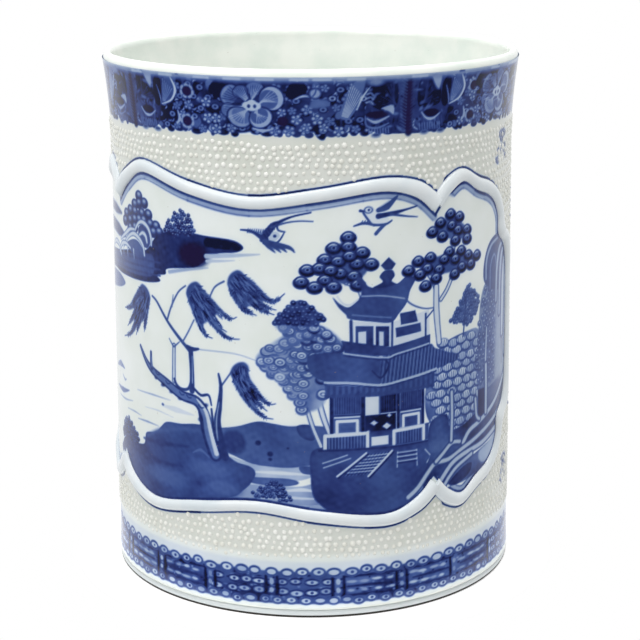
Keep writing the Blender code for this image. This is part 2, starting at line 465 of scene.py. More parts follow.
def open_leaf(brush, x, y, long=1.4, high=1.1, line=0.5, fill=0.16):
    """A small pale leaf in outline, with a ring in it."""
    brush.oval(x, y, long, high, fill)
    brush.oval(x, y, long, high, line, ring=0.3)
    brush.oval(x, y - 0.1, long * 0.42, high * 0.36, line * 0.9, ring=0.22)


def stippled(brush, outline, tone, dot, every, random, violet=0.0, gap=0.18):
    """A mound of foliage dabbed on in small overlapping dots."""
    ring = smooth(outline, closed=True)
    low, high = ring.min(0), ring.max(0)
    for row, y in enumerate(np.arange(low[1], high[1], every * 0.85)):
        for x in np.arange(low[0] + (row % 2) * every / 2, high[0], every):
            spot = np.array([[x, y]]) + random.normal(0, every * 0.16, 2)
            if within(ring, spot[:, 0], spot[:, 1])[0]:
                deep = tone * random.uniform(0.85, 1.12)
                brush.oval(*spot[0], dot * 1.1, dot, deep, violet=violet * random.uniform(0, 1))
                brush.oval(spot[0][0], spot[0][1] + dot * 0.3, dot * 0.35, dot * 0.25, gap * tone)


def double_line(brush, path, width, dark=0.72, pale=0.1, edge=0.3):
    """A branch left pale between its two dark edges."""
    brush.stroke(path, np.atleast_1d(width) + edge * 2, dark)
    brush.stroke(path, width, pale)


def island(brush, random):
    """A long low island with rocks, a round-leaved tree and a bush."""
    brush.wash([(-61.5, 81), (-66, 82.6), (-73, 82.5), (-80, 81), (-80, 77), (-72, 78), (-65, 79.3)], 0.5)
    brush.wash([
        (-17.2, 96.3), (-20, 97.9), (-28, 98.4), (-36, 98.8), (-43.5, 96.8), (-49, 92), (-58, 90.5),
        (-66, 89), (-74, 88), (-82, 86), (-82, 82), (-72, 83.4), (-63, 83.2), (-50, 83.6), (-43.2, 84.8),
        (-44.4, 86.2), (-41, 87), (-40, 88.6), (-31, 90.1), (-27.6, 92.4), (-24, 94.3), (-19, 95),
    ], 0.84, uneven=0.05)
    brush.wash([
        (-46, 91), (-52, 90.5), (-66, 88.5), (-78, 86.5), (-78, 83), (-66, 84.3), (-52, 84.8), (-46, 86),
    ], 0.62)
    for y in (85.8, 87.4, 89.2):
        brush.stroke([(-76, y - 1.4), (-64, y - 0.6), (-52, y), (-43, y + 0.4)], (0.3, 0.7, 0.4), 0.72)
    brush.oval(-31.5, 93.2, 4.6, 3, 0.95, violet=0.75, soft=2.2)
    brush.strokes(
        ([(-27, 96.8), (-22, 96.6), (-18.6, 96.2)], (2.4, 2.4, 1.6), 0.97),
        ([(-27.5, 93.3), (-20, 94.1), (-13, 94.8)], (1.3, 1.0, 0.3), 0.22),
        ([(-27.3, 92.1), (-23, 92.5), (-19.5, 92.9)], (0.9, 0.6, 0.2), 0.2),
        ([(-39.5, 87.8), (-34, 89.1), (-27, 90.4)], (1.0, 0.8, 0.3), 0.28),
    )
    round_tree = [
        (-52, 105.7), (-54.3, 103.2), (-52, 103.8), (-49.4, 104.2), (-57, 101.3), (-54.3, 101.3),
        (-50.7, 101.4), (-47.6, 101.5), (-57.3, 98.7), (-54.5, 99.3), (-52.2, 99.6), (-49.8, 99.7),
        (-46.9, 99.2), (-44.4, 99), (-60.5, 98), (-57.3, 96.6), (-54.5, 97.2), (-45.5, 97.3), (-59.5, 100),
        (-43.2, 97.6), (-47.8, 97.4),
    ]
    for x, y in round_tree:
        brush.oval(x, y - 0.2, 1.8, 1.45, 0.84)
    for x, y in round_tree:
        brush.oval(x, y + 0.2, 1.05, 0.75, 0.62)
        brush.oval(x, y + 0.3, 0.7, 0.45, 0.3, soft=0.6)
    stippled(brush, [
        (-41, 98), (-38.5, 102), (-34.8, 104.6), (-32, 102), (-30.5, 98),
    ], 0.82, 0.5, 1.05, random, 0.6)
    brush.washes(
        ([(-52.5, 97), (-50.5, 98.3), (-48.3, 97.2), (-46.9, 94.5), (-48.6, 92.5), (-52, 94)], 0.66),
        ([(-60.3, 91.4), (-57, 93.3), (-53.5, 93.8), (-50.8, 92.3), (-50, 90.4), (-55, 89.8)], 0.58),
    )
    ledges = (
        [(-54.6, 96), (-52.6, 98.3), (-50.4, 99), (-48, 98), (-46.7, 95.8), (-46.5, 93.6)],
        [(-52, 95.4), (-50.4, 96.2), (-49, 95.6), (-48.4, 94)],
        [(-61.8, 91), (-59, 93.6), (-55.5, 95.2), (-52.5, 94.6), (-50.3, 92.8), (-49.7, 90.4)],
        [(-64.5, 92.3), (-60.5, 94.4), (-57.5, 96), (-54.8, 96.4)],
        [(-66, 88.5), (-63.8, 91), (-60.5, 91.8), (-57.5, 91)],
        [(-76, 88), (-71, 90.5), (-66.5, 90.3), (-64.5, 88)],
    )
    for ledge in ledges:
        brush.strokes((ledge, (0.9, 1.6, 0.9), 0.5), (ledge, (0.5, 0.95, 0.5), 0.12))
    for x in (-59.5, -62.5, -55.5):
        brush.stroke([(x, 91), (x + 0.3, 88.5)], (0.7, 0.2), 0.2)


def far_shore(brush, random):
    """The hill behind the willow, the water before it, and the spit with its bush."""
    brush.wash([
        (-22, 36), (-14, 37.4), (-4, 37), (1, 39), (2, 43), (-14, 41), (-22, 42),
    ], 0.24, uneven=0.14)
    brush.stroke([(-15, 38.8), (-8, 38.9), (-1, 38.6)], (0.3, 1.0, 0.3), 0.08)
    brush.wash([
        (-22, 34.6), (-14, 35.5), (-4, 35.4), (1, 36), (1.5, 31), (-5, 30.6), (-15, 30.8), (-22, 31),
    ], 0.3, uneven=0.18)
    brush.strokes(
        ([(-13, 32), (-7, 32.4), (0, 32.2)], (0.4, 0.9, 0.4), 0.14),
        ([(-7, 34.2), (-3, 34.6), (0.5, 34.2)], (0.4, 1.0, 0.4), 0.1),
    )
    brush.wash([(-17, 37.2), (-8, 37.5), (-4.2, 37), (-4, 36), (-8, 35.4), (-16, 35.8)], 0.58)
    brush.wash([
        (-32, 48), (-23, 49.6), (-19, 50.5), (-14, 52.1), (-10, 51.8), (-6, 51.3), (0, 51.5), (4, 50),
        (4, 42), (-2, 41), (-6, 40.4), (-14, 40.7), (-19, 42), (-26, 45),
    ], 0.58, uneven=0.07)
    brush.oval(-20.5, 46, 3.4, 3.2, 0.74, soft=1.4)
    brush.wash([(-4, 51.3), (-1, 51.7), (1, 50), (0, 47.6), (-3, 48.6)], 0.72)
    for x, y, size in ((-13.9, 46.5, 0.75), (-10.8, 43.8, 0.75), (-10.8, 42.4, 0.5), (-6.3, 45.5, 0.3)):
        brush.oval(x, y, size, size * 0.9, 0.85)
    brush.wash([(-3.5, 40.6), (-1.5, 40.9), (0.5, 40.2), (0.5, 38.8), (-2.5, 38.9)], 0.6)
    stippled(brush, [
        (-15.5, 32.6), (-13, 35), (-10, 36.6), (-7, 34.8), (-4.6, 31), (-9, 31.6),
    ], 0.92, 0.42, 0.95, random)


def near_shore(brush, random):
    """The near hill with its bush, and the water lying to its left."""
    strokes = (
        ([(-55, 53.5), (-47, 54), (-40, 54)], 0.5, 0.3),
        ([(-43, 52), (-38, 51.9), (-32, 51.5)], 1.6, 0.1),
        ([(-55, 45.6), (-50, 46), (-45, 46)], 0.6, 0.35),
        ([(-51, 49.8), (-45, 50.2), (-39, 49.6)], 0.35, 0.16),
        ([(-73, 56), (-68, 57.4), (-64, 57)], 1.8, 0.45),
        ([(-66, 55), (-64, 54), (-62.5, 54.4)], 0.8, 0.35),
        ([(-72, 50.5), (-66, 50.6), (-60.5, 51.8)], 1.6, 0.5),
        ([(-70, 48.4), (-64, 48.6), (-58, 49.6)], 0.6, 0.3),
        ([(-62, 46.6), (-57, 47), (-53, 46.8)], 0.5, 0.28),
    )
    for path, width, tone in strokes:
        brush.stroke(path, (width * 0.3, width, width * 0.2), tone)
    brush.oval(-43, 52.3, 0.5, 0.35, 0.6)
    brush.wash([(-66.6, 38), (-64.6, 41.6), (-61, 43.4), (-57.8, 41.8), (-55.6, 39)], 0.7, soft=0.9)
    stippled(
        brush, [(-67, 38), (-65, 42.6), (-61, 44.4), (-57.4, 42.6), (-55, 39)], 0.84, 0.6, 1.25, random,
        0.0, 0.5,
    )
    brush.wash([
        (-68, 33), (-67, 36), (-64, 38), (-56, 38.6), (-52, 39.4), (-51.2, 41.2), (-50.4, 43), (-46, 44.2),
        (-44, 46), (-41.5, 47.9), (-36, 48.5), (-31, 49.3), (-25, 49), (-23, 43.5), (-20, 41), (-16, 40),
        (-14.7, 38.3), (-16, 35.6), (-18, 33.6), (-21, 31.4), (-30, 29.2), (-40, 27), (-50, 26.2),
        (-58, 28),
    ], 0.68)
    for path in (
        [(-52, 41), (-44, 41.6), (-34, 42.8)], [(-60, 37), (-48, 36.2), (-36, 37)],
        [(-46, 32), (-34, 33), (-22, 35)],
    ):
        brush.stroke(path, (0.4, 1.5, 0.4), 0.76, soft=1.0)
    brush.stroke([(-50, 42.2), (-44, 45), (-36, 47.2), (-27, 47.6)], (0.6, 1.7, 0.6), 0.58, soft=1.4)
    for x, y, wide in ((-27, 38, 6), (-42, 33, 8), (-24, 33.5, 5)):
        brush.oval(x, y, wide, 2.4, 0.56, soft=2.5)
    brush.stroke([(-32.5, 41.5), (-30, 42.6), (-27.5, 41)], (0.3, 0.8, 0.3), 0.5)


def willow(brush, random):
    """The old willow: bent pale trunks, and fronds that droop from thin twigs."""
    brush.strokes(
        ([(-33, 68.3), (-38, 72.5), (-41, 75.3), (-44.5, 79.2), (-46.5, 80.4)], (1.0, 0.55), 0.68),
        ([(-40.5, 75.5), (-39, 79), (-36.5, 83), (-34, 85)], (0.6, 0.4), 0.62),
        ([(-38.8, 79), (-38.3, 82)], (0.5, 0.3), 0.5),
        ([(-35.3, 70.3), (-33.5, 73), (-31.5, 76.5)], (0.5, 0.4), 0.55),
        ([(-27, 82), (-25.2, 85.6), (-22.5, 87.4)], (0.4, 0.5), 0.6),
        ([(-27, 82), (-29, 79.5)], (0.4, 0.3), 0.5),
        ([(-24, 60), (-22.5, 62), (-20.8, 64.4)], (0.5, 0.4), 0.62),
        ([(-30.5, 69.1), (-20, 69.2), (-13, 67.5)], (0.35, 0.2), 0.3),
    )
    double_line(brush, [(-38.6, 59.5), (-38.5, 64), (-38.3, 69)], (0.75, 0.6), 0.66, 0.12, 0.28)
    brush.strokes(
        ([(-38.6, 68.6), (-40, 70.4)], (0.5, 0.3), 0.6),
        ([(-38.2, 68.6), (-36.4, 70.1)], (0.5, 0.3), 0.6),
        ([(-32.5, 58), (-32.4, 63), (-32.7, 68.5)], (1.7, 1.35, 1.5), 0.75),
        ([(-32.3, 60), (-32.2, 67)], (0.35, 0.25), 0.28),
        ([(-33.8, 69.4), (-32, 68.9), (-30.3, 69.2)], (0.8, 1.1, 0.6), 0.78),
        ([(-38.4, 60), (-37.6, 58.6), (-36, 57.8), (-33.8, 58.2), (-32.8, 60)], (0.7, 0.8, 0.7), 0.74),
        ([(-23, 42), (-24.9, 50), (-24.3, 55), (-23.8, 60), (-24.4, 63.5)], (2.4, 1.9, 1.1, 0.5), 0.78),
        ([(-25, 46), (-25.2, 51), (-24.4, 56)], (0.5, 0.45, 0.3), 0.3),
    )
    trunk = [
        (-25.6, 42), (-27.6, 47), (-28.6, 52), (-31, 55.3), (-36, 56.2), (-42, 58.7), (-47, 60.6),
        (-50, 62.7), (-52.7, 66),
    ]
    brush.stroke(trunk, (3.6, 3.4, 3.1, 2.8, 2.7, 2.5, 2.1, 1.4, 0.8), 0.8)
    for x, y in (
        (-28.9, 54.4), (-33.5, 55.3), (-36.2, 55.5), (-39, 56.8), (-42.3, 57.9), (-45.4, 59.2), (-29.6, 51),
    ):
        brush.oval(x, y, random.uniform(0.8, 1.3), 0.6, 0.88, 25, soft=0.7)
    brush.strokes(
        (trunk, (2.2, 2.0, 1.7, 1.5, 1.7, 1.5, 1.1, 0.5, 0.2), 0.46),
        ([(-25.3, 42.4), (-26.9, 48), (-28.2, 53), (-31, 56)], (1.3, 1.2, 1.0, 0.3), 0.12),
        ([(-47.4, 61), (-47.6, 63), (-47.6, 65.4)], (1.2, 1.0, 0.8), 0.72),
        ([(-47.3, 61.5), (-47.4, 64)], 0.3, 0.35),
        ([(-31.8, 58.6), (-29.7, 57.2), (-27.4, 57.5), (-26.6, 55)], (0.6, 0.7, 0.4), 0.8),
    )
    for path in ([(-30.5, 53.5), (-29.4, 48), (-27.6, 42)], [(-26.6, 54), (-25.9, 48), (-24.4, 43)]):
        brush.stroke(path, (0.5, 0.75, 0.5), 0.82)
    for x, y in ((-36, 56.4), (-41, 58.4), (-33.6, 56), (-45, 60), (-29.8, 54)):
        brush.stroke([(x - 0.7, y + 0.5), (x, y - 0.1), (x + 0.8, y)], 0.28, 0.82)
    clusters = (
        ((-49, 81.5), (
            [(-54, 78.5), (-58, 75.3), (-62.3, 74.2)],
            [(-50.5, 77), (-55, 71.5), (-58.5, 68), (-63.3, 66.2)], [(-52, 78), (-56.5, 73), (-60.5, 69.6)],
            [(-49.4, 77), (-50, 73), (-50.6, 70.2)], [(-49.6, 78.5), (-52.6, 73), (-55, 68.4)],
        )),
        ((-32.5, 85), (
            [(-28, 82.8), (-23.5, 79.5), (-20.8, 78), (-19.2, 78.6)],
            [(-29, 80.5), (-25, 75.8), (-22, 73.2), (-18.5, 73)],
            [(-31, 79.5), (-29.5, 75.5), (-28, 73.2), (-26, 72.5)], [(-29.5, 81.5), (-26, 77), (-22, 74.6)],
        )),
        ((-20.5, 88.8), (
            [(-15.5, 87), (-11.5, 83.8), (-9.3, 83.2), (-6.8, 85.2)],
            [(-17, 84.8), (-13, 81.2), (-9.5, 79.8)], [(-18.8, 83.5), (-17, 80.8), (-14, 79.4)],
            [(-17, 86), (-12.5, 82.2), (-9, 81)],
        )),
        ((-19.5, 66), (
            [(-16.8, 62.5), (-13.2, 58.5), (-11, 56.8), (-9.3, 57)],
            [(-18.3, 60.5), (-15.2, 56), (-12.5, 53.5), (-10, 53)], [(-18, 62), (-14.5, 57.5), (-11.5, 55)],
        )),
    )
    for head, fingers in clusters:
        frond(brush, head, fingers, random)


def diving_bird(brush):
    """A swallow with a long forked tail, coming down."""
    brush.strokes(
        ([(-12.4, 98.4), (-11, 100.2), (-9.6, 102), (-8.4, 102.8)], (1.0, 1.9, 1.5, 0.8), 0.82),
        ([(-11.6, 99.4), (-8.8, 102.4), (-5, 104.3), (-0.2, 105.4)], (1.2, 0.9, 0.45, 0.35), 0.85),
        ([(-10, 101.6), (-6.5, 102.8), (-3, 103.3), (0.3, 103.2)], (0.6, 0.4, 0.35, 0.3), 0.68),
        ([(-17.8, 100.7), (-15.2, 100.5), (-12.8, 99.3), (-11.5, 98.6)], (0.35, 0.8, 1.8), 0.8),
    )
    for x in np.arange(-16, -11.5, 0.55):
        brush.stroke([(x, 100.2), (x + 0.2, 101.1)], (0.35, 0.15), 0.78)
    for x in np.arange(-12.2, -9, 0.6):
        brush.stroke([(x, x + 110.4), (x - 0.9, x + 111.7)], (0.35, 0.15), 0.75)
    brush.wash([(-10.6, 98.6), (-9.7, 100.4), (-8.4, 100.5), (-7.8, 99.6), (-8.6, 98.6), (-9.6, 98)], 0.16)
    brush.strokes(
        ([(-11.2, 98.1), (-9.6, 97.4), (-8, 98.4), (-6.8, 100.3)], (0.6, 0.5, 0.3), 0.78),
        ([(-8.6, 102.4), (-8.2, 101), (-6.6, 100.6)], (0.6, 0.35), 0.74),
    )
    brush.oval(-9.1, 99.5, 0.4, 0.35, 0.85)
    for tip in ((-9, 95.4), (-7.6, 95.5), (-6.2, 95.6), (-4.2, 95.5)):
        brush.stroke([(-11.6, 98), (tip[0] - 1.6, 96.8), tip], (1.3, 1.0, 0.2), 0.72)


def rising_bird(brush):
    """Its mate, turning to look back."""
    brush.stroke([(10.4, 101.8), (13, 102.4), (15.6, 101.8)], (0.35, 0.7, 0.6), 0.75)
    for x in (12.2, 12.9, 13.6, 14.3):
        brush.stroke([(x, 102.3), (x + 0.4, 103)], (0.35, 0.2), 0.72)
    brush.wash([
        (12.7, 104.6), (14.2, 106.2), (16.4, 105.4), (19.4, 103.2), (18.5, 102), (15.3, 102), (13.6, 103.4),
    ], 0.06)
    brush.stroke([
        (12.8, 104.9), (14, 103.2), (15.3, 101.9), (18.5, 101.8), (20.2, 102.6),
    ], (0.5, 0.55, 0.6, 0.4), 0.72)
    brush.oval(14.1, 105.6, 1.0, 0.75, 0.55, ring=0.35)
    brush.oval(14.2, 105.6, 0.3, 0.28, 0.85)
    brush.strokes(
        ([(12, 105.5), (12.9, 105.3)], (0.7, 0.5), 0.8),
        ([(16.6, 105.4), (19, 106.2), (21.7, 108.5)], (1.1, 1.7, 0.5), 0.68),
        ([(17, 106.2), (19.5, 107.6)], 0.25, 0.25),
        ([(16.6, 103.9), (20.5, 104.4), (24, 105), (27.2, 105.6)], (1.3, 1.0, 0.5, 0.3), 0.84),
        ([(20, 104.2), (24, 103.4), (27.4, 102.9)], (0.7, 0.45, 0.25), 0.72),
        ([(16, 99.6), (17.3, 100.9), (18.6, 101.8)], (0.9, 0.9, 0.5), 0.66),
    )


def dark_tree(brush):
    """The tree of dark ringed leaves behind the pavilion's roof."""
    for path in ([(5, 89.4), (9, 87.5), (11.5, 85.8), (12.3, 84)], [(9.2, 93), (9.5, 90), (8.4, 87.6)]):
        double_line(brush, path, 0.5, 0.66, 0.15, 0.25)
    leaves = [
        (9, 99.2), (5.3, 96.6), (9, 96.8), (12.5, 95.2), (3.2, 93.8), (6.4, 93.2), (11.1, 92.4),
        (14.8, 92.2), (-1.2, 91.2), (1.8, 91.6), (6.9, 90.2), (10.4, 89.4), (-2.7, 88.2), (3.2, 88.6),
        (0.6, 86.9), (5.3, 86.9), (11.4, 87.2), (9.3, 94.4), (4.6, 91),
    ]
    brush.wash([(1.4, 91), (5.4, 96.4), (9, 98), (13, 94.6), (14, 91), (10.6, 88), (5, 88)], 0.58, soft=0.9)
    for x, y in leaves:
        brush.oval(x, y - 0.35, 2.1, 1.55, 0.8)
    for x, y in leaves:
        ringed_leaf(brush, x, y, 1.9, 1.35)


def tall_tree(brush):
    """The tall tree of dark leaves at the right of the pavilion, on a forked pale trunk."""
    leaves = [
        (38, 102.5), (41.2, 101.4), (34.6, 100.7), (32, 98.7), (35.3, 97.2), (38.5, 99.5), (40.8, 98),
        (44.2, 97.7), (39.8, 95.6), (44.3, 95.4), (27.7, 91.8), (31.4, 92.3), (37.6, 92.9), (42, 92.6),
        (24.9, 89.7), (35.9, 91.2), (39.8, 90.7), (44.9, 91), (48.6, 90.4), (30.5, 89.6), (34.2, 88.9),
        (28.2, 88.3), (42.3, 88.4), (46, 88.5), (29.9, 85.3), (39.6, 87), (33.2, 86.8),
    ]
    for path in ([(30.5, 88.5), (32.5, 85.5), (33.6, 82)], [(39, 87), (37, 83.5), (34.8, 81)]):
        double_line(brush, path, 0.7, 0.66, 0.12)
    double_line(brush, [(33.3, 84.5), (33.4, 78), (34.3, 70)], (1.2, 1.4, 1.2), 0.62)
    brush.stroke([(40, 96), (39.4, 92), (39.2, 88)], 0.4, 0.6)
    brush.washes(
        ([(33, 98.6), (37.6, 101.4), (43, 99), (44.6, 96), (39.6, 95.6), (36, 97)], 0.56),
        ([(29, 91), (37.6, 92.4), (46, 91), (46, 88.8), (39, 87.6), (29.6, 88)], 0.56), soft=0.9,
    )
    for x, y in leaves:
        brush.oval(x, y - 0.4, 2.0, 1.4, 0.84)
    for x, y in leaves:
        ringed_leaf(brush, x, y, 1.65, 1.2, 0.97)


def pale_tree(brush, random):
    """The light tree at the left of the pavilion: a dark crown over a crowd of open leaves."""
    vary = random.uniform
    double_line(
        brush, [(-5, 69), (-2, 67.5), (-0.3, 65), (1, 60), (2.5, 54), (4, 49.6)],
        (0.6, 0.9, 1.0, 1.0, 1.0, 0.8), 0.66,
    )
    double_line(brush, [(-1.5, 56), (0, 51), (2, 46)], (0.6, 0.8), 0.62, 0.12)
    crowd = [
        (-9, 77), (-2, 77.6), (3.4, 76.6), (7.6, 72.4), (6.6, 69.4), (2.6, 68.8), (3.6, 60), (1.6, 56),
        (-3, 55.4),
    ]
    crowd += [(-5.4, 60), (-8, 63.6), (-13, 66), (-14, 69), (-10, 72.6), (-7, 75)]
    ring = smooth(crowd, closed=True)
    brush.wash(crowd, 0.44, soft=1.2, uneven=0.2)
    spots = []
    for row, y in enumerate(np.arange(56, 78, 1.75)):
        for x in np.arange(-14 + (row % 2) * 1.2, 8.5, 2.35):
            spot = np.array([x, y]) + random.normal(0, 0.4, 2)
            if within(ring, spot[None, 0], spot[None, 1])[0]:
                spots.append(spot)
    for x, y in spots:
        if abs(x - 0.6) > 1.6 or y > 67:
            dark = 0.5 + 0.25 * (x > -2) + vary(-0.15, 0.15)
            brush.oval(x + vary(-0.4, 0.4), y - 0.5, 1.6, 1.15, dark)
            size = vary(0.8, 1.08)
            open_leaf(brush, x, y, 1.4 * size, 1.05 * size, vary(0.5, 0.72), vary(0.12, 0.34))
    crown = [(-9.9, 77.4), (-7.6, 80.4), (-3, 83.7), (0.6, 81.2), (3.2, 79), (-0.6, 76.9), (-5, 77.4)]
    brush.wash(crown, 0.6)
    stippled(brush, crown, 0.84, 0.66, 1.15, random, 0.1, 0.35)


def pavilion(brush):
    """The two-storeyed pavilion on its terrace, with railings and steps down to the water."""
    brush.wash([
        (-0.6, 38), (0, 45), (8, 45.4), (20, 45), (34, 44.4), (34.5, 40), (30.6, 37), (28.4, 32),
        (25.4, 29), (21, 27), (16, 26.4), (10, 26.8), (5, 28.2), (2, 30.4), (0, 33),
    ], 0.7)
    brush.block(4.2, 45, 29.6, 59, 0.1)
    brush.wash([(9.3, 78), (20.4, 77), (31, 79), (31.4, 70), (9.6, 70)], 0.1, straight=True)
    # The upper storey.
    brush.washes(
        ([(10.8, 76.7), (15.3, 76.4), (15.3, 71.4), (10.8, 71.5)], 0.72),
        ([(11.4, 75.2), (13.5, 75.3), (13.5, 72), (11.4, 72)], 0.12),
        ([(16, 76.3), (19.5, 76), (19.5, 70.9), (16, 71)], 0.82),
        ([(16.8, 75), (18.1, 74.8), (18.1, 71.1), (16.8, 71.1)], 0.14),
        ([(22.5, 79), (26.8, 79.3), (27.6, 76.4), (22.8, 76.1)], 0.78),
        ([(21.3, 75.4), (28.4, 75.9), (28.6, 73.7), (21.5, 73)], 0.76),
        ([(7.2, 73.2), (20, 70.7), (31.4, 72.5), (31.4, 69.6), (20, 68.3), (8, 69.9)], 0.72), straight=True,
    )
    for path, width in (
        ([(9.6, 78), (9.7, 71)], 0.8), ([(30, 78), (30, 71.4)], 0.5), ([(30, 76.6), (33, 79.2)], 0.35),
        ([(20.4, 77.6), (20.3, 70.6)], 0.5),
    ):
        brush.stroke(path, width, 0.78)
    # The upper roof and its finial.
    brush.wash([
        (18.3, 90.2), (20.3, 90.2), (21, 88.8), (20.2, 87.4), (22.2, 86), (15.3, 86), (17.8, 87.4),
        (17, 88.8),
    ], 0.8)
    brush.wash([(19.4, 93.5), (21.3, 91.7), (20.3, 90.4), (18.4, 90.4), (17.3, 91.6)], 0.8, straight=True)
    brush.wash([
        (5.1, 84.2), (6.4, 81.8), (8.3, 79.8), (9.3, 78.6), (15, 77.6), (20, 77), (22.2, 79), (24.4, 81.6),
        (25.3, 84.5), (26.8, 87.4), (24.4, 88.3), (21.6, 86.6), (17, 86), (14, 86.6), (12.2, 89),
        (11, 88.4), (12.4, 85), (9.4, 81.7), (7, 82.4),
    ], 0.68)
    brush.strokes(
        ([(6.2, 84.4), (7.6, 82.6), (9.4, 82.2), (11.4, 83.4)], (0.4, 0.5, 0.4), 0.12),
        ([(12.4, 84.2), (18, 83.9), (24.2, 82.6)], 0.45, 0.3), ([(10, 79.6), (20, 78.2)], 0.35, 0.4),
        ([(24, 84), (24.4, 82.2), (26.4, 80.6), (29.6, 79.4), (32.6, 79.2)], (0.5, 0.45, 0.3), 0.62),
    )
    # The lower storey: posts, blinds, panels and windows.
    for x, width in ((4.7, 1.0), (12.6, 1.2), (22.1, 0.9), (29.2, 0.9)):
        brush.stroke([(x, 59.4), (x, 49.6)], width, 0.9)
    blinds = ((5.3, 12, 54.2, 58.8, 0.62), (17.1, 21.6, 53.8, 58.8, 0.78), (22.7, 28.7, 54, 58.6, 0.66))
    for left, right, low, high, tone in blinds:
        brush.block(left, low, right, high, tone, lines=(0.62, 0.0, tone + 0.16))
    for left, right in ((5.2, 12), (22.7, 28.8)):
        brush.stroke([(left, 53.9), (right, 53.9)], 0.5, 0.85)
        brush.block(left, 49.4, right, 53.2, 0.6)
        brush.stroke([
            (left + 0.8, 49.6), (left + 0.8, 52.4), (right - 0.8, 52.4), (right - 0.8, 49.6),
        ], 0.8, 0.08, straight=True)
        brush.block(left + 1.7, 50, right - 1.7, 51.6, 0.62)
    brush.stroke([(17, 59), (17, 53.8)], 0.4, 0.6)
    brush.block(13.2, 48.2, 21.4, 53.5, 0.84)
    for x, y, size in ((15.5, 51.4, 1.0), (18.9, 50.3, 1.25), (19.6, 53, 0.7), (14, 49.2, 0.6)):
        brush.wash([
            (x - size, y), (x, y + size * 0.7), (x + size, y), (x, y - size * 0.7),
        ], 0.1, straight=True)
    # The lower roof, with tile lines on its right half, and its valance.
    brush.wash(
        [(3, 62), (17.5, 60.8), (33, 62.5), (32.6, 58.8), (17.6, 58.2), (3.2, 58.9)], 0.62, straight=True,
        lines=(1.5, 0.0, 0.72),
    )
    for x in np.arange(3.6, 33, 1.5):
        brush.oval(x, 59, 0.7, 0.55, 0.7)
    left_slope = [(-0.6, 69.6), (8, 70), (17.6, 68.2), (17.2, 61.4), (10, 62.1), (4, 62.6), (-0.4, 65)]
    right_slope = [
        (17.5, 68), (22, 68.8), (31, 70), (33, 68.7), (37, 67), (41.4, 65), (36, 63.6), (31, 62.8),
        (20, 61.4), (17.4, 61.4),
    ]
    brush.wash(left_slope, 0.66)
    brush.wash(right_slope, 0.52, lines=(1.05, 0.12, 0.76))
    brush.stroke([(15, 65), (17.4, 63), (19.4, 66), (18, 68)], (0.3, 0.6, 0.3), 0.85)
    for path, width in (
        ([(7.8, 69.9), (18.3, 68.1), (22, 68.8), (31, 70.2)], 0.5),
        ([(3, 62.6), (10, 62.2), (17.5, 61.1), (24, 61.9), (33.4, 63.2)], 0.65),
    ):
        brush.strokes((path, width, 0.22), ([(x, y - 0.55) for x, y in path], 0.3, 0.82))
    # The terrace with its railings.
    brush.wash([(2.4, 49), (34.8, 49.4), (34.8, 45), (2.4, 45)], 0.66, straight=True)
    brush.block(14.8, 45.4, 19.4, 47.8, 0.08)
    for left, right in ((3, 13.8), (20.9, 29.5)):
        brush.block(left, 45.2, right, 48.4, 0.5, lines=(0.8, 0.0, 0.8))
        brush.stroke([(left, 45.3), (left, 48.7), (right, 48.9), (right, 45.3)], 0.95, 0.09, straight=True)
    brush.stroke([(31.2, 45), (31.3, 48.9), (34.8, 49.1)], 0.45, 0.15, straight=True)
    brush.stroke([(1.5, 44.9), (14, 44.8), (20, 44.6), (34.4, 44.6)], 0.5, 0.84)
    # The steps, the landing rails and the slope before them.
    brush.wash(
        [(6.6, 37.8), (15.5, 38.2), (20.6, 43.6), (13.4, 43.2)], 0.5, straight=True, lines=(0.9, 0.85, 0.8),
    )
    for share in np.linspace(0.1, 0.9, 6):
        x, y = 8 + 5.6 * share, 38.3 + 5 * share
        brush.strokes(
            ([(x, y), (x + 7, y + 0.1)], 0.32, 0.2),
            ([(x, y - 0.4), (x + 7, y - 0.3)], 0.25, 0.82),
        )
    for path in ([(6, 38), (13.5, 43.7)], [(14, 37.5), (20.4, 43.6)]):
        brush.strokes(([(x + 0.4, y - 0.4) for x, y in path], 0.5, 0.88), (path, 0.55, 0.12))
    for path in (
        [(2.6, 40.4), (9.4, 42.6)], [(2.4, 41.6), (8.6, 43.5)], [(21.8, 39), (21.9, 43)],
        [(27.6, 38.6), (27.4, 42.8)],
    ):
        brush.stroke(path, 0.4, 0.25)
    for y in (42.8, 41.7, 40.5):
        brush.strokes(
            ([(22, y), (27.4, y - 0.1)], 0.35, 0.2),
            ([(22, y - 0.5), (27.4, y - 0.6)], 0.3, 0.85),
        )
    for path in ([(30, 42.4), (33.6, 38.4)], [(33.8, 42.6), (30.6, 38.8)]):
        brush.stroke(path, 0.4, 0.22)


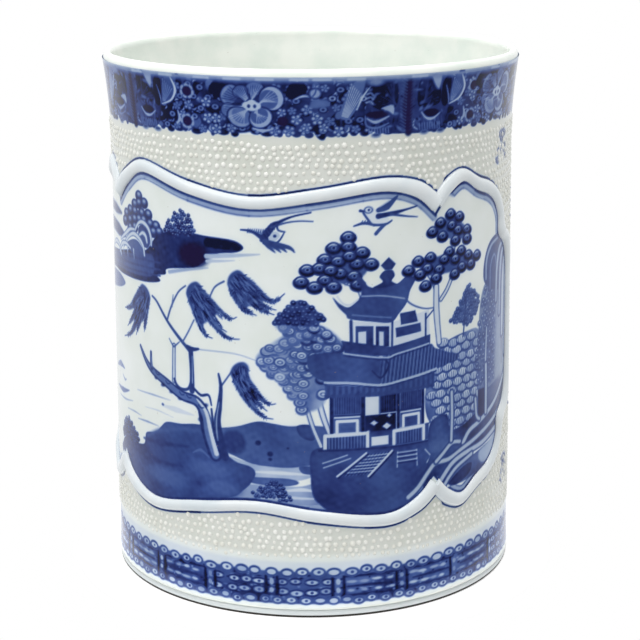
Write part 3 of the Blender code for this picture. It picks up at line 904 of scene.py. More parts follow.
def fan_tree(brush, random):
    """The pine at the right of the pavilion: rows of ribbed fans round a dark trunk."""
    brush.wash([
        (31, 50), (30, 58), (33, 66), (36, 69.5), (44, 71), (50, 70), (50.5, 60), (49, 50), (44, 46.5),
        (37, 46),
    ], 0.5, uneven=0.2)
    brush.stroke([(39.5, 44), (38.9, 50), (39.2, 56), (40.6, 60), (40.4, 66)], (1.5, 1.1, 0.9), 0.3)
    for row, y in enumerate(np.arange(45.6, 70.5, 2.15)):
        for x in np.arange(33.6 - (row % 2) * 1.8, 51, 3.6):
            middle = (x + random.normal(0, 0.25), y + random.normal(0, 0.15))
            if math.hypot((middle[0] - 42) / 10.5, (middle[1] - 58) / 13.5) > 1.05:
                continue
            brush.oval(*middle, 2.0, 1.3, 0.8)
            brush.oval(middle[0], middle[1] + 0.15, 1.75, 1.05, random.uniform(0.1, 0.24), soft=0.5)
            for lean in np.linspace(-1.3, 1.3, 4):
                rib = [(middle[0] + lean * 0.6, middle[1] - 1.0), (middle[0] + lean, middle[1] + 0.7)]
                brush.stroke(rib, 0.22, random.uniform(0.5, 0.75), soft=0.3)
    stippled(brush, [
        (45, 83), (47.5, 81.4), (49.9, 78.6), (48.4, 75), (46, 73.2), (43.5, 72.6), (41, 74), (37.6, 75),
        (40.3, 77.6), (42, 80),
    ], 0.66, 0.6, 1.0, random, 0.0, 0.45)
    brush.stroke([(44, 80), (43.6, 75), (43, 70)], 0.5, 0.7)


def far_trees(brush, random):
    """The softer trees towards the panel's right end, under a cliff with water falling down it."""
    brush.wash([
        (50, 57), (50, 74), (53, 82), (60, 80), (67, 77), (70, 66), (69, 56), (60, 50), (52, 50),
    ], 0.44, uneven=0.14, violet=0.15)
    stippled(
        brush, [(49.6, 56), (50, 74), (54, 81.6), (61, 80), (66, 76), (67, 62), (62, 55)], 0.58, 0.8, 1.75,
        random, 0.2, 0.34,
    )
    brush.wash([
        (49, 54), (56, 53.4), (66, 56), (70, 57), (70, 50), (60, 46.6), (50, 45.6),
    ], 0.58, uneven=0.2, violet=0.2)
    brush.wash([(59, 54), (60, 92), (70, 94), (72, 54)], 0.27, straight=True, soft=4.0, violet=0.2)
    brush.stroke([(64, 90), (64.4, 74), (65, 58)], (0.4, 1.4, 0.5), 0.44, violet=0.35, soft=1.2)
    double_line(brush, [(54, 70), (53.6, 60), (54.2, 47)], (0.5, 0.8, 1.0), 0.6, 0.2, 0.25)
    double_line(brush, [(49.3, 54), (49.5, 47)], 0.6, 0.6, 0.16, 0.25)
    brush.wash([
        (52.2, 83), (52.6, 88.5), (55.6, 92.6), (61, 93.8), (68, 92), (70, 84), (69, 77), (60, 79),
        (56, 80),
    ], 0.6, violet=0.2)
    arcs = (
        ([(53.4, 83), (53.7, 88), (56.3, 91.4), (60.5, 92.6)], 0.9, 0.24),
        ([(55.8, 80), (56, 86), (58, 88.6), (59.4, 87), (59.6, 81)], 0.7, 0.34),
        ([(59.8, 76), (60.2, 84), (62, 89.4), (65, 91)], 1.2, 0.2),
        ([(62.4, 72), (62.8, 82), (64, 87.6), (67, 90)], 1.3, 0.2),
        ([(65, 66), (65.5, 80), (66.6, 86)], 1.9, 0.16),
        ([(68, 60), (68.3, 76), (68.4, 86)], 2.2, 0.14),
    )
    for path, width, tone in arcs:
        brush.stroke(path, width + 0.9, 0.62, violet=0.2)
        brush.stroke(path, (width * 0.8, width * 1.2, width * 0.8), tone + 0.05, soft=0.7)


def footbridge(brush):
    """The zigzag fence and bridge that comes down from the right end to the cusp."""
    brush.wash([
        (30, 36), (33, 42.5), (38, 43.5), (45, 44.6), (52, 47), (60, 49), (69, 54), (72, 50), (69, 45),
        (56, 41), (44, 37), (36, 32), (30, 31.5),
    ], 0.74, uneven=0.1)
    brush.wash([
        (31.6, 49), (37, 50.4), (38.6, 46), (44, 46.4), (50, 48.4), (51, 45), (42, 42), (32, 41),
    ], 0.7, uneven=0.14)
    brush.wash([(50, 46.4), (50, 54), (53.4, 54), (53.4, 46.6)], 0.76, straight=True, violet=0.3)
    brush.wash([
        (37, 32), (42, 35.5), (50, 37.4), (57, 38.5), (62, 38), (58, 34.4), (50, 32), (42, 30.6),
    ], 0.6, uneven=0.2)
    brush.wash([(38, 31.6), (43, 34.6), (47, 35), (46, 32.4), (41, 30.6)], 0.8)
    brush.wash([
        (50.5, 37), (56, 38.6), (62, 41.4), (67, 45), (69, 43), (63, 36.4), (57, 33.2), (51.5, 33.8),
    ], 0.26, soft=1.3)
    rails = (
        ([(69.5, 56), (65, 52.4), (60, 49), (55, 46.8), (50, 45.2), (46, 44), (43.4, 41.4)], 1.35),
        ([
            (68, 49), (60, 44.6), (50, 41.6), (43, 39.8), (38, 38.2), (33.4, 38), (31, 36), (28, 32.6),
            (25, 30.4),
        ], 1.25),
        ([(42, 42), (39, 42.3), (36, 40.2), (33.6, 38.4)], 1.1),
        ([(60, 41.2), (52, 39.2), (44, 38.3), (39, 36.6), (35, 32.8)], 1.35),
        ([(47, 37.4), (41.5, 35.6), (38.5, 33.6), (36.6, 31.6)], 1.1),
        ([(38.8, 43), (39, 50), (38.8, 56)], 1.0), ([(54, 47), (54, 54), (53.8, 60)], 1.2),
        ([(48.6, 52), (49.2, 47.4), (50.6, 46)], 1.0),
    )
    for path, width in rails:
        brush.stroke(path, width + 0.7, 0.74, soft=0.7, violet=0.15)
        brush.stroke(path, width, 0.2, soft=0.7)


def sprig(brush, x, y, size, turn):
    """A loose flower spray dabbed on the bare ground between the panels."""
    brush.place(x, y, size, turn)
    brush.strokes(
        ([(-4, -3), (-1, -0.6), (1.4, 2.6)], 0.5, 0.55),
        ([(-1, -0.6), (2.6, -1.4), (4, -3)], 0.45, 0.5), soft=0.6,
    )
    brush.ovals(
        (0, 3, 1.7, 1.3, 0.6, 20), (2.4, 4, 1.3, 1.0, 0.5, -20), (-1.6, 4.2, 1.3, 1.0, 0.5, 40),
        (0.6, 5.2, 1.2, 1.0, 0.55, 0), (3.8, -2.6, 1.4, 0.8, 0.55, 30), (-3.6, -3.4, 1.5, 0.8, 0.6, -35),
        (-3, -0.4, 1.3, 0.7, 0.5, 50), (3.2, 0.6, 1.4, 0.7, 0.5, -40), soft=0.7,
    )
    brush.oval(0.5, 3.9, 0.5, 0.45, 0.15, soft=0.5)


# ---- the two borders


def floret(brush, x, y, size, random, heart=0.35):
    """A small five-petalled flower in pale petals on the dark ground."""
    turn = random.uniform(0, 72)
    for k in range(5):
        angle = math.radians(turn + 72 * k)
        petal_x, petal_y = x + size * 0.62 * math.cos(angle), y + size * 0.55 * math.sin(angle)
        brush.ovals(
            (petal_x, petal_y, size * 0.42, size * 0.36, 0.86),
            (petal_x, petal_y, size * 0.31, size * 0.26, heart),
        )
    brush.ovals((x, y, size * 0.24, size * 0.22, 0.22), (x, y, size * 0.11, size * 0.11, 0.85))


def butterfly(brush, random):
    """A broad dark butterfly: a feathered violet body, and wings edged with pale crescents."""
    vary = random.uniform
    brush.wash([
        (-11, -5), (-10.6, 3), (-9, 6.4), (-2, 6.6), (8, 6.6), (12.6, 6.2), (11.6, -1), (9, -6.2),
        (0, -6.8),
    ], 0.76)
    brush.washes(
        ([(-3.4, 0.4), (-3.6, 5.6), (-7, 6.4), (-10.4, 4.6), (-9.8, 0.6), (-6.6, -0.8)], 0.93),
        ([(2.4, 0), (2.6, 6.2), (6, 6.6), (8.6, 4), (8.8, 0.4), (6, -0.6)], 0.9), uneven=0.1,
    )
    for side in (-1, 1):
        for share in np.linspace(0, 1, 9):
            x, y = side * (3 + 1.2 * share), 0.2 + 0.6 * share
            tip = (side * (4 + 4.6 * (1 - share) + vary(0, 1)), 0.8 + 5.2 * share)
            brush.stroke([(x, y), tip], (0.1, 0.4, 0.15), vary(0.7, 0.84), soft=0.6)
        for share in np.linspace(0, 1, 7):
            x = side * (3 + 6.5 * share)
            path = [(x, -2.6 - vary(0, 1)), (x + side * 0.5, -5.6)]
            brush.stroke(path, (0.15, 0.45, 0.2), random.choice([0.6, 0.95]), soft=0.5)
    for x, y in zip(vary(-10.6, 10, 60), vary(-6.2, 6.4, 60)):
        long, turn = vary(0.3, 1.1), vary(0, 180)
        brush.oval(x, y, long, vary(0.2, 0.4), random.choice([0.5, 0.62, 0.97]), turn, soft=0.5)
    brush.oval(-9, 6, 1.9, 0.8, 0.42, soft=0.9)
    brush.wash([(6, 6.9), (6.9, 4.6), (8.2, 3.4), (8.8, 5.2), (8.6, 7)], 0.3, soft=0.8)
    for y in (0.9, 1.9, 2.9):
        brush.stroke([(-11.2, y + 0.3), (-10.2, y + 0.6), (-9.6, y)], 0.35, 0.3)
    brush.oval(-8.5, -1.8, 2.7, 0.85, 0.97, violet=0.5)
    brush.oval(6.3, -2.2, 2.4, 1.0, 0.97, violet=0.3)
    brush.strokes(
        ([(-10.9, -2.7), (-8.7, -3.6), (-5.4, -2.3)], (0.4, 0.9, 0.4), 0.3),
        ([(-11.4, -2), (-11, -4.4), (-8.4, -5), (-5.4, -4)], (0.2, 0.5, 0.3), 0.42),
        ([(3.5, -1.9), (5, -3.4), (7, -3.6), (9, -2.4)], (0.4, 0.8, 0.3), 0.28),
    )
    brush.wash([(-7.5, -0.3), (-4.4, 0.4), (-4.2, -1.9), (-5.6, -1.1)], 0.26)
    for x in np.arange(-10.4, -5.2, 0.7):
        brush.stroke([(x, -5.2), (x + 0.15, -6.4)], 0.25, 0.4)
    for x in np.arange(3, 9.4, 0.75):
        brush.stroke([(x, -4.6), (x + 0.2, -6.1)], 0.24, 0.42)
    brush.stroke([(1.5, -3.6), (1.3, -5.1), (2.5, -6)], (0.3, 0.6, 0.3), 0.3)
    for x in (-8.6, 4.5, 9.5):
        brush.ovals((x, -6.9, 1.3, 0.6, 0.34), (x, -6.7, 0.8, 0.35, 0.7))
    brush.stroke([(-0.3, 6.4), (-0.6, 0), (0, -6.6)], (1.4, 2.6, 1.6), 0.86, violet=0.8, soft=1.0)
    for y in np.arange(-6, 6.2, 0.8):
        brush.stroke([(-2.4, y + 0.9), (-0.9, y)], (0.12, 0.3), 0.5, violet=0.3)
        brush.stroke([(1.5, y + 0.9), (0.3, y)], (0.1, 0.22), 0.66, violet=0.5)
    # The tall petal and the streaked fan to its right.
    brush.wash([(9.4, 0), (9.3, 4.6), (10.6, 6.6), (12, 5.6), (11.8, 1.4), (10.8, -0.8)], 0.97)
    brush.stroke([(10.5, 4.2), (11.4, 1.6), (11.6, -0.3)], (0.15, 0.4, 0.2), 0.3)
    brush.wash([(11.9, 0.2), (12.3, 4), (13.8, 6.6), (15.8, 6.4), (16.6, 3.2), (15, 0.8), (13, -0.4)], 0.62)
    for lean in np.linspace(0, 1, 6):
        brush.stroke([
            (12.2 + lean * 0.8, 0.4), (12.9 + 2.8 * lean, 5.8 - 2.2 * lean),
        ], (0.12, 0.3, 0.15), 0.32)
    brush.strokes(
        ([(15.5, 6.5), (16.7, 3.6), (15.2, 0.9), (11.9, -0.4)], (0.4, 0.75, 0.6, 0.3), 0.18),
        ([(17, -1.6), (17.4, -3.6), (16.5, -4.8)], (0.4, 1.0, 0.5), 0.3),
    )
    for x, y in ((20.3, 3.4), (19.8, -4)):
        for turn in range(7):
            angle = math.tau * turn / 7 + y
            brush.oval(
                x + 1.7 * math.cos(angle), y + 1.45 * math.sin(angle), 0.7, 0.5, 0.34,
                math.degrees(angle) + 90,
            )
        brush.oval(x, y, 1.3, 1.15, 0.9, violet=0.85)


def peony(brush, random):
    """An open peony and its bud, with dark leaves behind and small blossoms beside it."""
    brush.wash([(-11, 3), (-9, 6), (-4, 6.4), (-1, 5.4), (-3, 2.6), (-7, 1.4)], 0.96, uneven=0.12)
    brush.oval(0, 0.2, 7.2, 4.8, 0.88)
    # Each petal: its place, half width, half height, turn, fill and how bright its edge is.
    for x, y, long, high, turn, fill, edge in (
        (-5.6, 2.6, 2.6, 2.0, 50, 0.5, 0.3), (0.9, 4.2, 2.2, 1.5, 0, 0.66, 0.42),
        (4.9, 1.9, 2.9, 2.8, -50, 0.62, 0.2), (-6.1, -1.2, 1.6, 1.8, 100, 0.7, 0.42),
        (-3.3, -2.9, 3.0, 2.3, 160, 0.52, 0.28), (2.1, -2.9, 2.8, 2.3, 205, 0.64, 0.2),
        (-2.8, 3.4, 1.8, 1.4, 20, 0.74, 0.5),
    ):
        brush.ovals((x, y, long * 1.12, high * 1.12, 0.97, turn), (x, y, long, high, edge + 0.1, turn))
        lean = math.radians(turn)
        inward = np.array([-x, -y]) / math.hypot(x, y)
        brush.oval(
            x + inward[0] * high * 0.3, y + inward[1] * high * 0.3, long * 0.8, high * 0.82, fill, turn,
        )
        for share in np.linspace(-0.7, 0.7, 6):
            reach = share * long * np.array([math.cos(lean), math.sin(lean)]) - inward * high * 0.5
            foot = (x * 0.45 + share * 0.5, y * 0.45 + share * 0.5)
            brush.stroke([foot, (x, y) + reach], (0.3, 0.12), 0.3 if fill > 0.5 else 0.84)
    for x, y, long, high in (
        (-1.2, 0.1, 1.3, 0.9), (0, 0.6, 1.3, 0.9), (1.1, 0, 1.2, 0.9), (-0.2, -0.6, 1.5, 0.7),
    ):
        brush.oval(x, y, long, high, 0.2)
    for x in (-0.8, 0.7):
        brush.oval(x, -0.1, 0.36, 0.4, 0.85)
    brush.stroke([(0, -5.4), (2.4, -6), (4.8, -5.6)], (0.3, 0.9, 0.3), 0.3)
    brush.oval(7.4, -3.6, 1.3, 1.2, 0.95, violet=0.7)
    for x, y, size in (
        (10.7, -3.2, 1.5), (7.2, -1.5, 1.2), (15.7, -3.2, 1.6), (17.2, -5.2, 1.3), (13.2, -5, 1.3),
        (-9.4, -3.4, 1.5), (-12, 0.4, 1.5),
    ):
        floret(brush, x, y, size, random, 0.3)
    brush.wash([(8.2, 2.6), (9.4, 5.4), (12.4, 5.8), (13.4, 4), (11.4, 2)], 0.98)
    brush.stroke([(10.5, 1.8), (12.4, 2.5), (14.2, 2.3)], (0.3, 0.6, 0.3), 0.24)
    brush.oval(15.2, 3.1, 1.7, 1.4, 0.9)
    brush.oval(15.2, 3.1, 1.3, 1.1, 0.34, soft=0.6)
    brush.stroke([(14.6, 2.4), (15.2, 3.2), (15.4, 4)], 0.25, 0.7)
    brush.wash([(14.2, -0.4), (14.6, 1.4), (17.8, 1.6), (18.4, 0)], 0.5, soft=0.8)
    brush.wash([
        (21, -2.4), (22.4, 2), (24.4, 5.6), (27, 6.2), (26.4, 2.6), (24.6, -1.6), (22.8, -3.4),
    ], 0.5)
    for share in np.linspace(0, 1, 7):
        brush.stroke([
            (21.6 + 1.4 * share, -2.4 - 0.4 * share), (23.8 + 2.6 * share, 5.2 - 2.6 * share),
        ], (0.15, 0.35, 0.15), 0.24)
    brush.stroke([(25.2, -1), (26.4, 1.8), (27.9, 4)], (0.3, 0.6, 0.3), 0.2)


def rim_border(brush, random):
    """Butterflies and peonies among small flowers on a dark ground, all round under the lip."""
    vary = random.uniform
    brush.place(0.0)
    start, end = brush.along[0] - 2, brush.along[-1] + 2
    around = np.linspace(start, end, 240)
    edge = RIM_LOW + 1.2 + 0.3 * np.sin(around * 0.9)
    band = [*zip(around, edge), (end, RIM_HIGH), (start, RIM_HIGH)]
    brush.wash(band, 0.84, straight=True, uneven=0.1, soft=0.8)
    first = brush.along[OVERRUN] + 0.5
    spans = np.arange(first, first + ROUND - 1.5, 2.7)
    for x in spans:
        size = vary(0.5, 1.8)
        if vary() < 0.8:
            deep = vary(0.8, 0.99)
            brush.oval(x + vary(-0.7, 0.7), RIM_LOW + vary(0.5, 1.2), size, 0.75, deep)
    for kind, count in (("blot", 300), ("patch", 260), ("curl", 760)):
        for x, y in zip(vary(first, first + ROUND, count), vary(124.6, 137, count)):
            size, turn = vary(0.6, 1.3), vary(0, math.tau)
            if kind == "blot":
                brush.oval(x, y, size * 1.6, size * 0.9, 0.98, math.degrees(turn))
            elif kind == "patch":
                brush.oval(x, y, size, size * 0.8, vary(0.5, 0.68), math.degrees(turn))
            else:
                arc = [(
                    x + size * math.cos(turn + k), y + 0.8 * size * math.sin(turn + k),
                ) for k in (0, 0.8, 1.6)]
                brush.stroke(arc, (0.12, 0.42, 0.15), vary(0.22, 0.42), soft=0.35)
    for row, y in enumerate(np.arange(125.4, 137, 2.5)):
        for x in np.arange(first + (row % 2) * 1.9, first + ROUND - 1.5, 3.8):
            spot = (x + vary(-0.6, 0.6), y + vary(-0.4, 0.4))
            if vary() < 0.6:
                floret(brush, *spot, vary(1.1, 1.6), random, vary(0.26, 0.5))
            else:
                brush.ovals(
                    (*spot, 1.15, 0.9, 0.97), (*spot, 0.85, 0.62, vary(0.22, 0.4)), (*spot, 0.4, 0.32, 0.9),
                )
    for k, middle in enumerate(BUTTERFLIES):
        before = 38.7 if k < 2 else 28.0
        for place, motif in ((middle - before, peony), (middle, butterfly)):
            brush.place(
                place + (ROUND if place < first + 16 else 0), 130.6 if motif is butterfly else 131.2,
            )
            motif(brush, random)
    brush.place(SCENE_START)
    for x, y in zip(vary(44, 56, 40), vary(125, 137, 40)):
        path = [(x, y), (x + vary(0.8, 2.4), y + vary(-0.4, 0.4))]
        brush.stroke(path, (0.15, 0.6, 0.15), random.choice([0.25, 0.4, 0.95]), soft=0.6)
    brush.place(0.0)
    brush.block(start, RIM_HIGH - 0.7, end, RIM_HIGH + 0.6, 0.36, soft=1.5)
    for x in spans:
        if vary() < 0.3:
            brush.stroke([(x - 2, RIM_HIGH), (x + 2, RIM_HIGH)], (0.3, 0.9, 0.3), 0.12, soft=0.9)


def base_border(brush, random):
    """Ringed ovals and dashes in the compartments of a key fret, on a dark band."""
    vary = random.uniform
    brush.place(0.0)
    start, end = brush.along[0] - 2, brush.along[-1] + 2
    brush.block(start, 12, end, 15.2, 0.07, soft=1.4)
    brush.block(start, 3.9, end, 12.5, 0.66, uneven=0.16, soft=0.8)
    first = brush.along[OVERRUN]
    zero = SCENE_START + 6.2
    cells = [zero + BASE_PERIOD * k for k in range(-6, 16)]
    for x, y in zip(vary(first, first + ROUND, 1300), vary(4.4, 11.8, 1300)):
        brush.oval(x, y, vary(0.2, 0.7), vary(0.15, 0.3), random.choice([0.36, 0.5, 0.95]))
    for k, left in enumerate(cells):
        if not first - 1 < left < first + ROUND - 3:
            continue
        full = (k - 6) % 5 > 2
        middle, right = left + BASE_PERIOD / 2, left + BASE_PERIOD
        for y, long in ((11, 7.4), (8.3, 5.8), (5.9, 6.6)):
            if not full:
                shift = vary(-1, 1)
                path = [(middle - long + shift, y), (middle + shift, y + 0.1), (middle + long + shift, y)]
                brush.stroke(path, (0.4, 0.85, 0.4), vary(0.84, 0.98), soft=0.6)
        for y, high in ((9.7, 0.62), (7.1, 0.66)):
            pitch = 3.9 if full else vary(2.9, 3.6)
            for x in np.arange(left + (2.4 if full else 3.3), right - (0.4 if full else 2), pitch):
                spot = (x + random.normal(0, 0.25), y + random.normal(0, 0.14))
                if full:
                    long = vary(1.2, 1.8)
                    brush.ovals(
                        (*spot, long + 0.3, high + 0.4, 0.92),
                        (*spot, long, high * vary(0.9, 1.2), vary(0.16, 0.34)),
                        (*spot, 0.36, 0.3, vary(0.6, 0.9)),
                    )
                else:
                    brush.oval(*spot, vary(0.9, 1.7), 0.42, vary(0.16, 0.36), soft=0.5)
        for x in (left - 1.5, left + 1.4):
            if vary() < 0.85:
                brush.stroke([(x, 11), (x + 0.1, 8), (x, 4.6)], (0.7, vary(0.9, 1.4), 0.8), 0.95, soft=0.6)
        for y in (9.7, 7.4, 5.2):
            brush.oval(left, y, 0.62, vary(0.6, 1.0), vary(0.2, 0.4))
    for y, pitch, long, high in ((12.3, 4.1, 1.4, 0.82), (4.7, 3.5, 1.2, 0.68)):
        count = round(ROUND / pitch)
        for x in first + (np.arange(count) + 0.5) * ROUND / count:
            x, spot_y = x + random.normal(0, 0.25), y + random.normal(0, 0.16)
            wide = long * vary(0.75, 1.1)
            brush.ovals(
                (x, spot_y, wide + 0.5, high + 0.5, 0.6), (x, spot_y, wide + 0.2, high + 0.22, 0.82),
                (x, spot_y, wide, high * vary(0.85, 1.05), vary(0.12, 0.3)),
            )
            if vary() < 0.75:
                brush.oval(x + 0.1, spot_y, 0.38, 0.32, vary(0.55, 0.9))


# ---- the painted scenes


def landscape(brush, random):
    """Island, willow, trees, pavilion and footbridge round a stretch of water."""
    far_shore(brush, random)
    near_shore(brush, random)
    for path, width in (
        ([(-80, 99.4), (-72, 99.8), (-63.4, 99.2)], 2.6),
        ([(-80, 95), (-70, 94.8), (-60.5, 93.6)], 3.3),
    ):
        brush.stroke(path, (width, width, width, 0.5), 0.66, violet=0.25, soft=1.0)
    island(brush, random)
    willow(brush, random)
    diving_bird(brush)
    rising_bird(brush)
    pale_tree(brush, random)
    dark_tree(brush)
    fan_tree(brush, random)
    pavilion(brush)
    tall_tree(brush)
    far_trees(brush, random)
    footbridge(brush)


def paint_pot():
    """Everything that the painter laid on the wall, and the seeds that vary each touch."""
    brush = Brush()
    for seed, (_, middle, narrower) in enumerate(PANELS):
        frame_lines(brush, middle, narrower, PALE_BANDS, np.random.default_rng(31 + seed))
    brush.place(SCENE_START)
    brush.wash([
        (-104, 60), (-96, 64), (-86, 62), (-78, 56), (-84, 50), (-96, 49), (-104, 52),
    ], 0.5, uneven=0.14)
    edge = [(-101, 62), (-95, 74), (-88, 78), (-82, 70), (-84, 60)]
    stippled(brush, edge, 0.6, 0.7, 1.4, np.random.default_rng(20))
    landscape(brush, np.random.default_rng(21))
    # The landscape in the smaller panel, behind, is the same one drawn smaller.
    brush.place(HALF_WAY - 3.0, 6, 0.92)
    landscape(brush, np.random.default_rng(22))
    keep_inside(brush)
    for seed, (_, middle, narrower) in enumerate(PANELS):
        frame_lines(brush, middle, narrower, DARK_LINES, np.random.default_rng(33 + seed))
    for x, y, size, turn in (
        (78.5, 116, 0.9, 1), (-78.5, 117, 0.9, -1), (98, 98, 1.1, -1), (100, 74, 1.0, 1), (97, 46, 1.1, -1),
        (-98, 98, 1.1, 1), (-99, 72, 1.0, -1), (-97, 44, 1.1, 1), (84, 27, 0.8, 1), (-84, 27, 0.8, -1),
    ):
        sprig(brush, x, y, size, turn)
    rim_border(brush, np.random.default_rng(41))
    base_border(brush, np.random.default_rng(42))
    return brush


def keep_inside(brush):
    """Wipes off what the painter ran over the frames."""
    along, up = brush.along[None, :], brush.up[:, None] - PANEL_MIDDLE
    kept = np.zeros(brush.cobalt.shape, bool)
    for _, middle, narrower in PANELS:
        away = (along - middle + HALF_WAY) % ROUND - HALF_WAY
        kept |= within(frame_ring(narrower, 1), away, up)
    brush.cobalt *= kept
    brush.violet *= kept


# ---- objects and meshes


def placed(name, data):
    """A new object in the scene, at the origin."""
    thing = bpy.data.objects.new(name, data)
    bpy.context.collection.objects.link(thing)
    return thing


def plain_piece(name, points, faces, material, values):
    """A finished piece of four-sided faces, smoothly shaded, with attributes on its points."""
    mesh = bpy.data.meshes.new(name)
    mesh.vertices.add(len(points))
    mesh.vertices.foreach_set("co", np.ascontiguousarray(points, np.float32).ravel())
    mesh.loops.add(faces.size)
    mesh.loops.foreach_set("vertex_index", np.ascontiguousarray(faces, np.int32).ravel())
    mesh.polygons.add(len(faces))
    mesh.polygons.foreach_set("loop_start", np.arange(0, faces.size, 4, dtype=np.int32))
    mesh.update(calc_edges=True)
    mesh.shade_smooth()
    for label, value in values.items():
        layer = mesh.attributes.new(label, "FLOAT", "POINT")
        layer.data.foreach_set("value", np.ascontiguousarray(value, np.float32).ravel())
    mesh.materials.append(material)
    return placed(name, mesh)


def grid_faces(rows, columns):
    """The faces between the points of a grid, whose columns run to the right seen from outside."""
    corner = (np.arange(rows - 1)[:, None] * columns + np.arange(columns - 1)[None, :]).ravel()
    return np.stack([corner, corner + 1, corner + columns + 1, corner + columns], -1)


def painted_skin(name, brush, layers, columns, heights, material):
    """A stretch of glazed wall that carries the painting on its points."""
    low, high = np.searchsorted(brush.up, heights)
    rows = slice(low, high + 1)
    up, along = brush.up[rows], brush.along[columns]
    points = on_wall(along[None, :], up[:, None], SKIN_LIFT).reshape(-1, 3)
    values = {label: layer[rows, columns] for label, layer in layers.items()}
    return plain_piece(name, points, grid_faces(len(up), len(along)), material, values)


# ---- shapes grown by Geometry Nodes


def shape_tree(name, sizes):
    """An empty Geometry Nodes tree with its ends, and named inputs for its sizes."""
    tree = bpy.data.node_groups.new(name, "GeometryNodeTree")
    tree.interface.new_socket("Guide", in_out="INPUT", socket_type="NodeSocketGeometry")
    for label, kind in sizes.items():
        tree.interface.new_socket(label, in_out="INPUT", socket_type=kind)
    tree.interface.new_socket("Material", in_out="INPUT", socket_type="NodeSocketMaterial")
    tree.interface.new_socket("Shape", in_out="OUTPUT", socket_type="NodeSocketGeometry")
    return tree, node(tree, "NodeGroupInput").outputs


def end_tree(tree, given, shape):
    """Ends a tree in real geometry with its material."""
    shaded = node(tree, "GeometryNodeSetShadeSmooth", {"Geometry": shape, "Shade Smooth": True})
    real = node(tree, "GeometryNodeRealizeInstances", {"Geometry": shaded})
    dressed = node(tree, "GeometryNodeSetMaterial", {"Geometry": real, "Material": given["Material"]})
    node(tree, "NodeGroupOutput", {"Shape": dressed})


def grow(name, tree, guide, values):
    """Runs a tree on a guide mesh, and keeps what it makes as a plain mesh at the origin."""
    piece = placed(name, guide)
    modifier = piece.modifiers.new(tree.name, "NODES")
    modifier.node_group = tree
    for socket in tree.interface.items_tree:
        if socket.name in values:
            modifier[socket.identifier] = values[socket.name]
    graph = bpy.context.evaluated_depsgraph_get()
    made = bpy.data.meshes.new_from_object(
        piece.evaluated_get(graph), preserve_all_data_layers=True, depsgraph=graph,
    )
    piece.modifiers.remove(modifier)
    piece.data = made
    made.name = name
    return piece


def guide_mesh(name, points, closed=False, values=None):
    """A line of points for a tree to follow."""
    count = len(points)
    mesh = bpy.data.meshes.new(name)
    edges = [(i, (i + 1) % count) for i in range(count if closed else count - 1)]
    mesh.from_pydata([tuple(point) for point in points], edges, [])
    for label, value in (values or {}).items():
        mesh.attributes.new(label, "FLOAT", "POINT").data.foreach_set(
            "value", np.asarray(value, np.float32),
        )
    return mesh


def turning_tree():
    """Turns a profile, drawn as (radius, height) in X and Z, once round the pot's axis."""
    tree, given = shape_tree("turned_on_the_wheel", {"Steps": "NodeSocketInt", "Seam": "NodeSocketFloat"})
    # Along a level circle a profile's X points outwards and its Y downwards.
    upright = node(tree, "GeometryNodeTransform", {
        "Geometry": given["Guide"], "Rotation": (math.pi / 2, 0.0, 0.0),
        "Translation": (-LIP_RADIUS * MM, 0.0, 0.0),
    })
    profile = node(tree, "GeometryNodeMeshToCurve", {"Mesh": upright})
    circle = node(
        tree, "GeometryNodeCurvePrimitiveCircle",
        {"Resolution": given["Steps"], "Radius": LIP_RADIUS * MM},
    )
    level = node(tree, "GeometryNodeSetCurveNormal", {"Curve": circle}, mode="Z_UP")
    turned = node(tree, "GeometryNodeCurveToMesh", {
        "Curve": level, "Profile Curve": profile, "Fill Caps": False,
    })
    joined = node(tree, "GeometryNodeMergeByDistance", {"Geometry": turned, "Distance": given["Seam"]})
    end_tree(tree, given, joined)
    return tree


def strip_tree():
    """Rolls a round strip of clay along a guide on the wall. Half of it shows above the wall."""
    tree, given = shape_tree("strip_of_clay", {
        "Relief": "NodeSocketFloat", "Section Steps": "NodeSocketInt",
    })
    path = node(tree, "GeometryNodeMeshToCurve", {"Mesh": given["Guide"]})
    place = node(tree, "GeometryNodeInputPosition")
    outward = node(tree, "ShaderNodeVectorMath", {0: place, 1: (1.0, 1.0, 0.0)}, operation="MULTIPLY")
    unit = node(tree, "ShaderNodeVectorMath", {0: outward}, operation="NORMALIZE")
    facing = node(tree, "GeometryNodeSetCurveNormal", {"Curve": path, "Normal": unit}, mode="FREE")
    section = node(
        tree, "GeometryNodeCurvePrimitiveCircle",
        {"Resolution": given["Section Steps"], "Radius": 1.0},
    )
    squeeze = node(tree, "ShaderNodeCombineXYZ", {"X": given["Relief"], "Y": 1.0, "Z": 1.0})
    oval = node(tree, "GeometryNodeTransform", {"Geometry": section, "Scale": squeeze})
    half_width = node(tree, "GeometryNodeInputNamedAttribute", {"Name": "half_width"}, data_type="FLOAT")
    rolled = node(tree, "GeometryNodeCurveToMesh", {
        "Curve": facing, "Profile Curve": oval, "Scale": half_width, "Fill Caps": True,
    })
    end_tree(tree, given, rolled)
    return tree


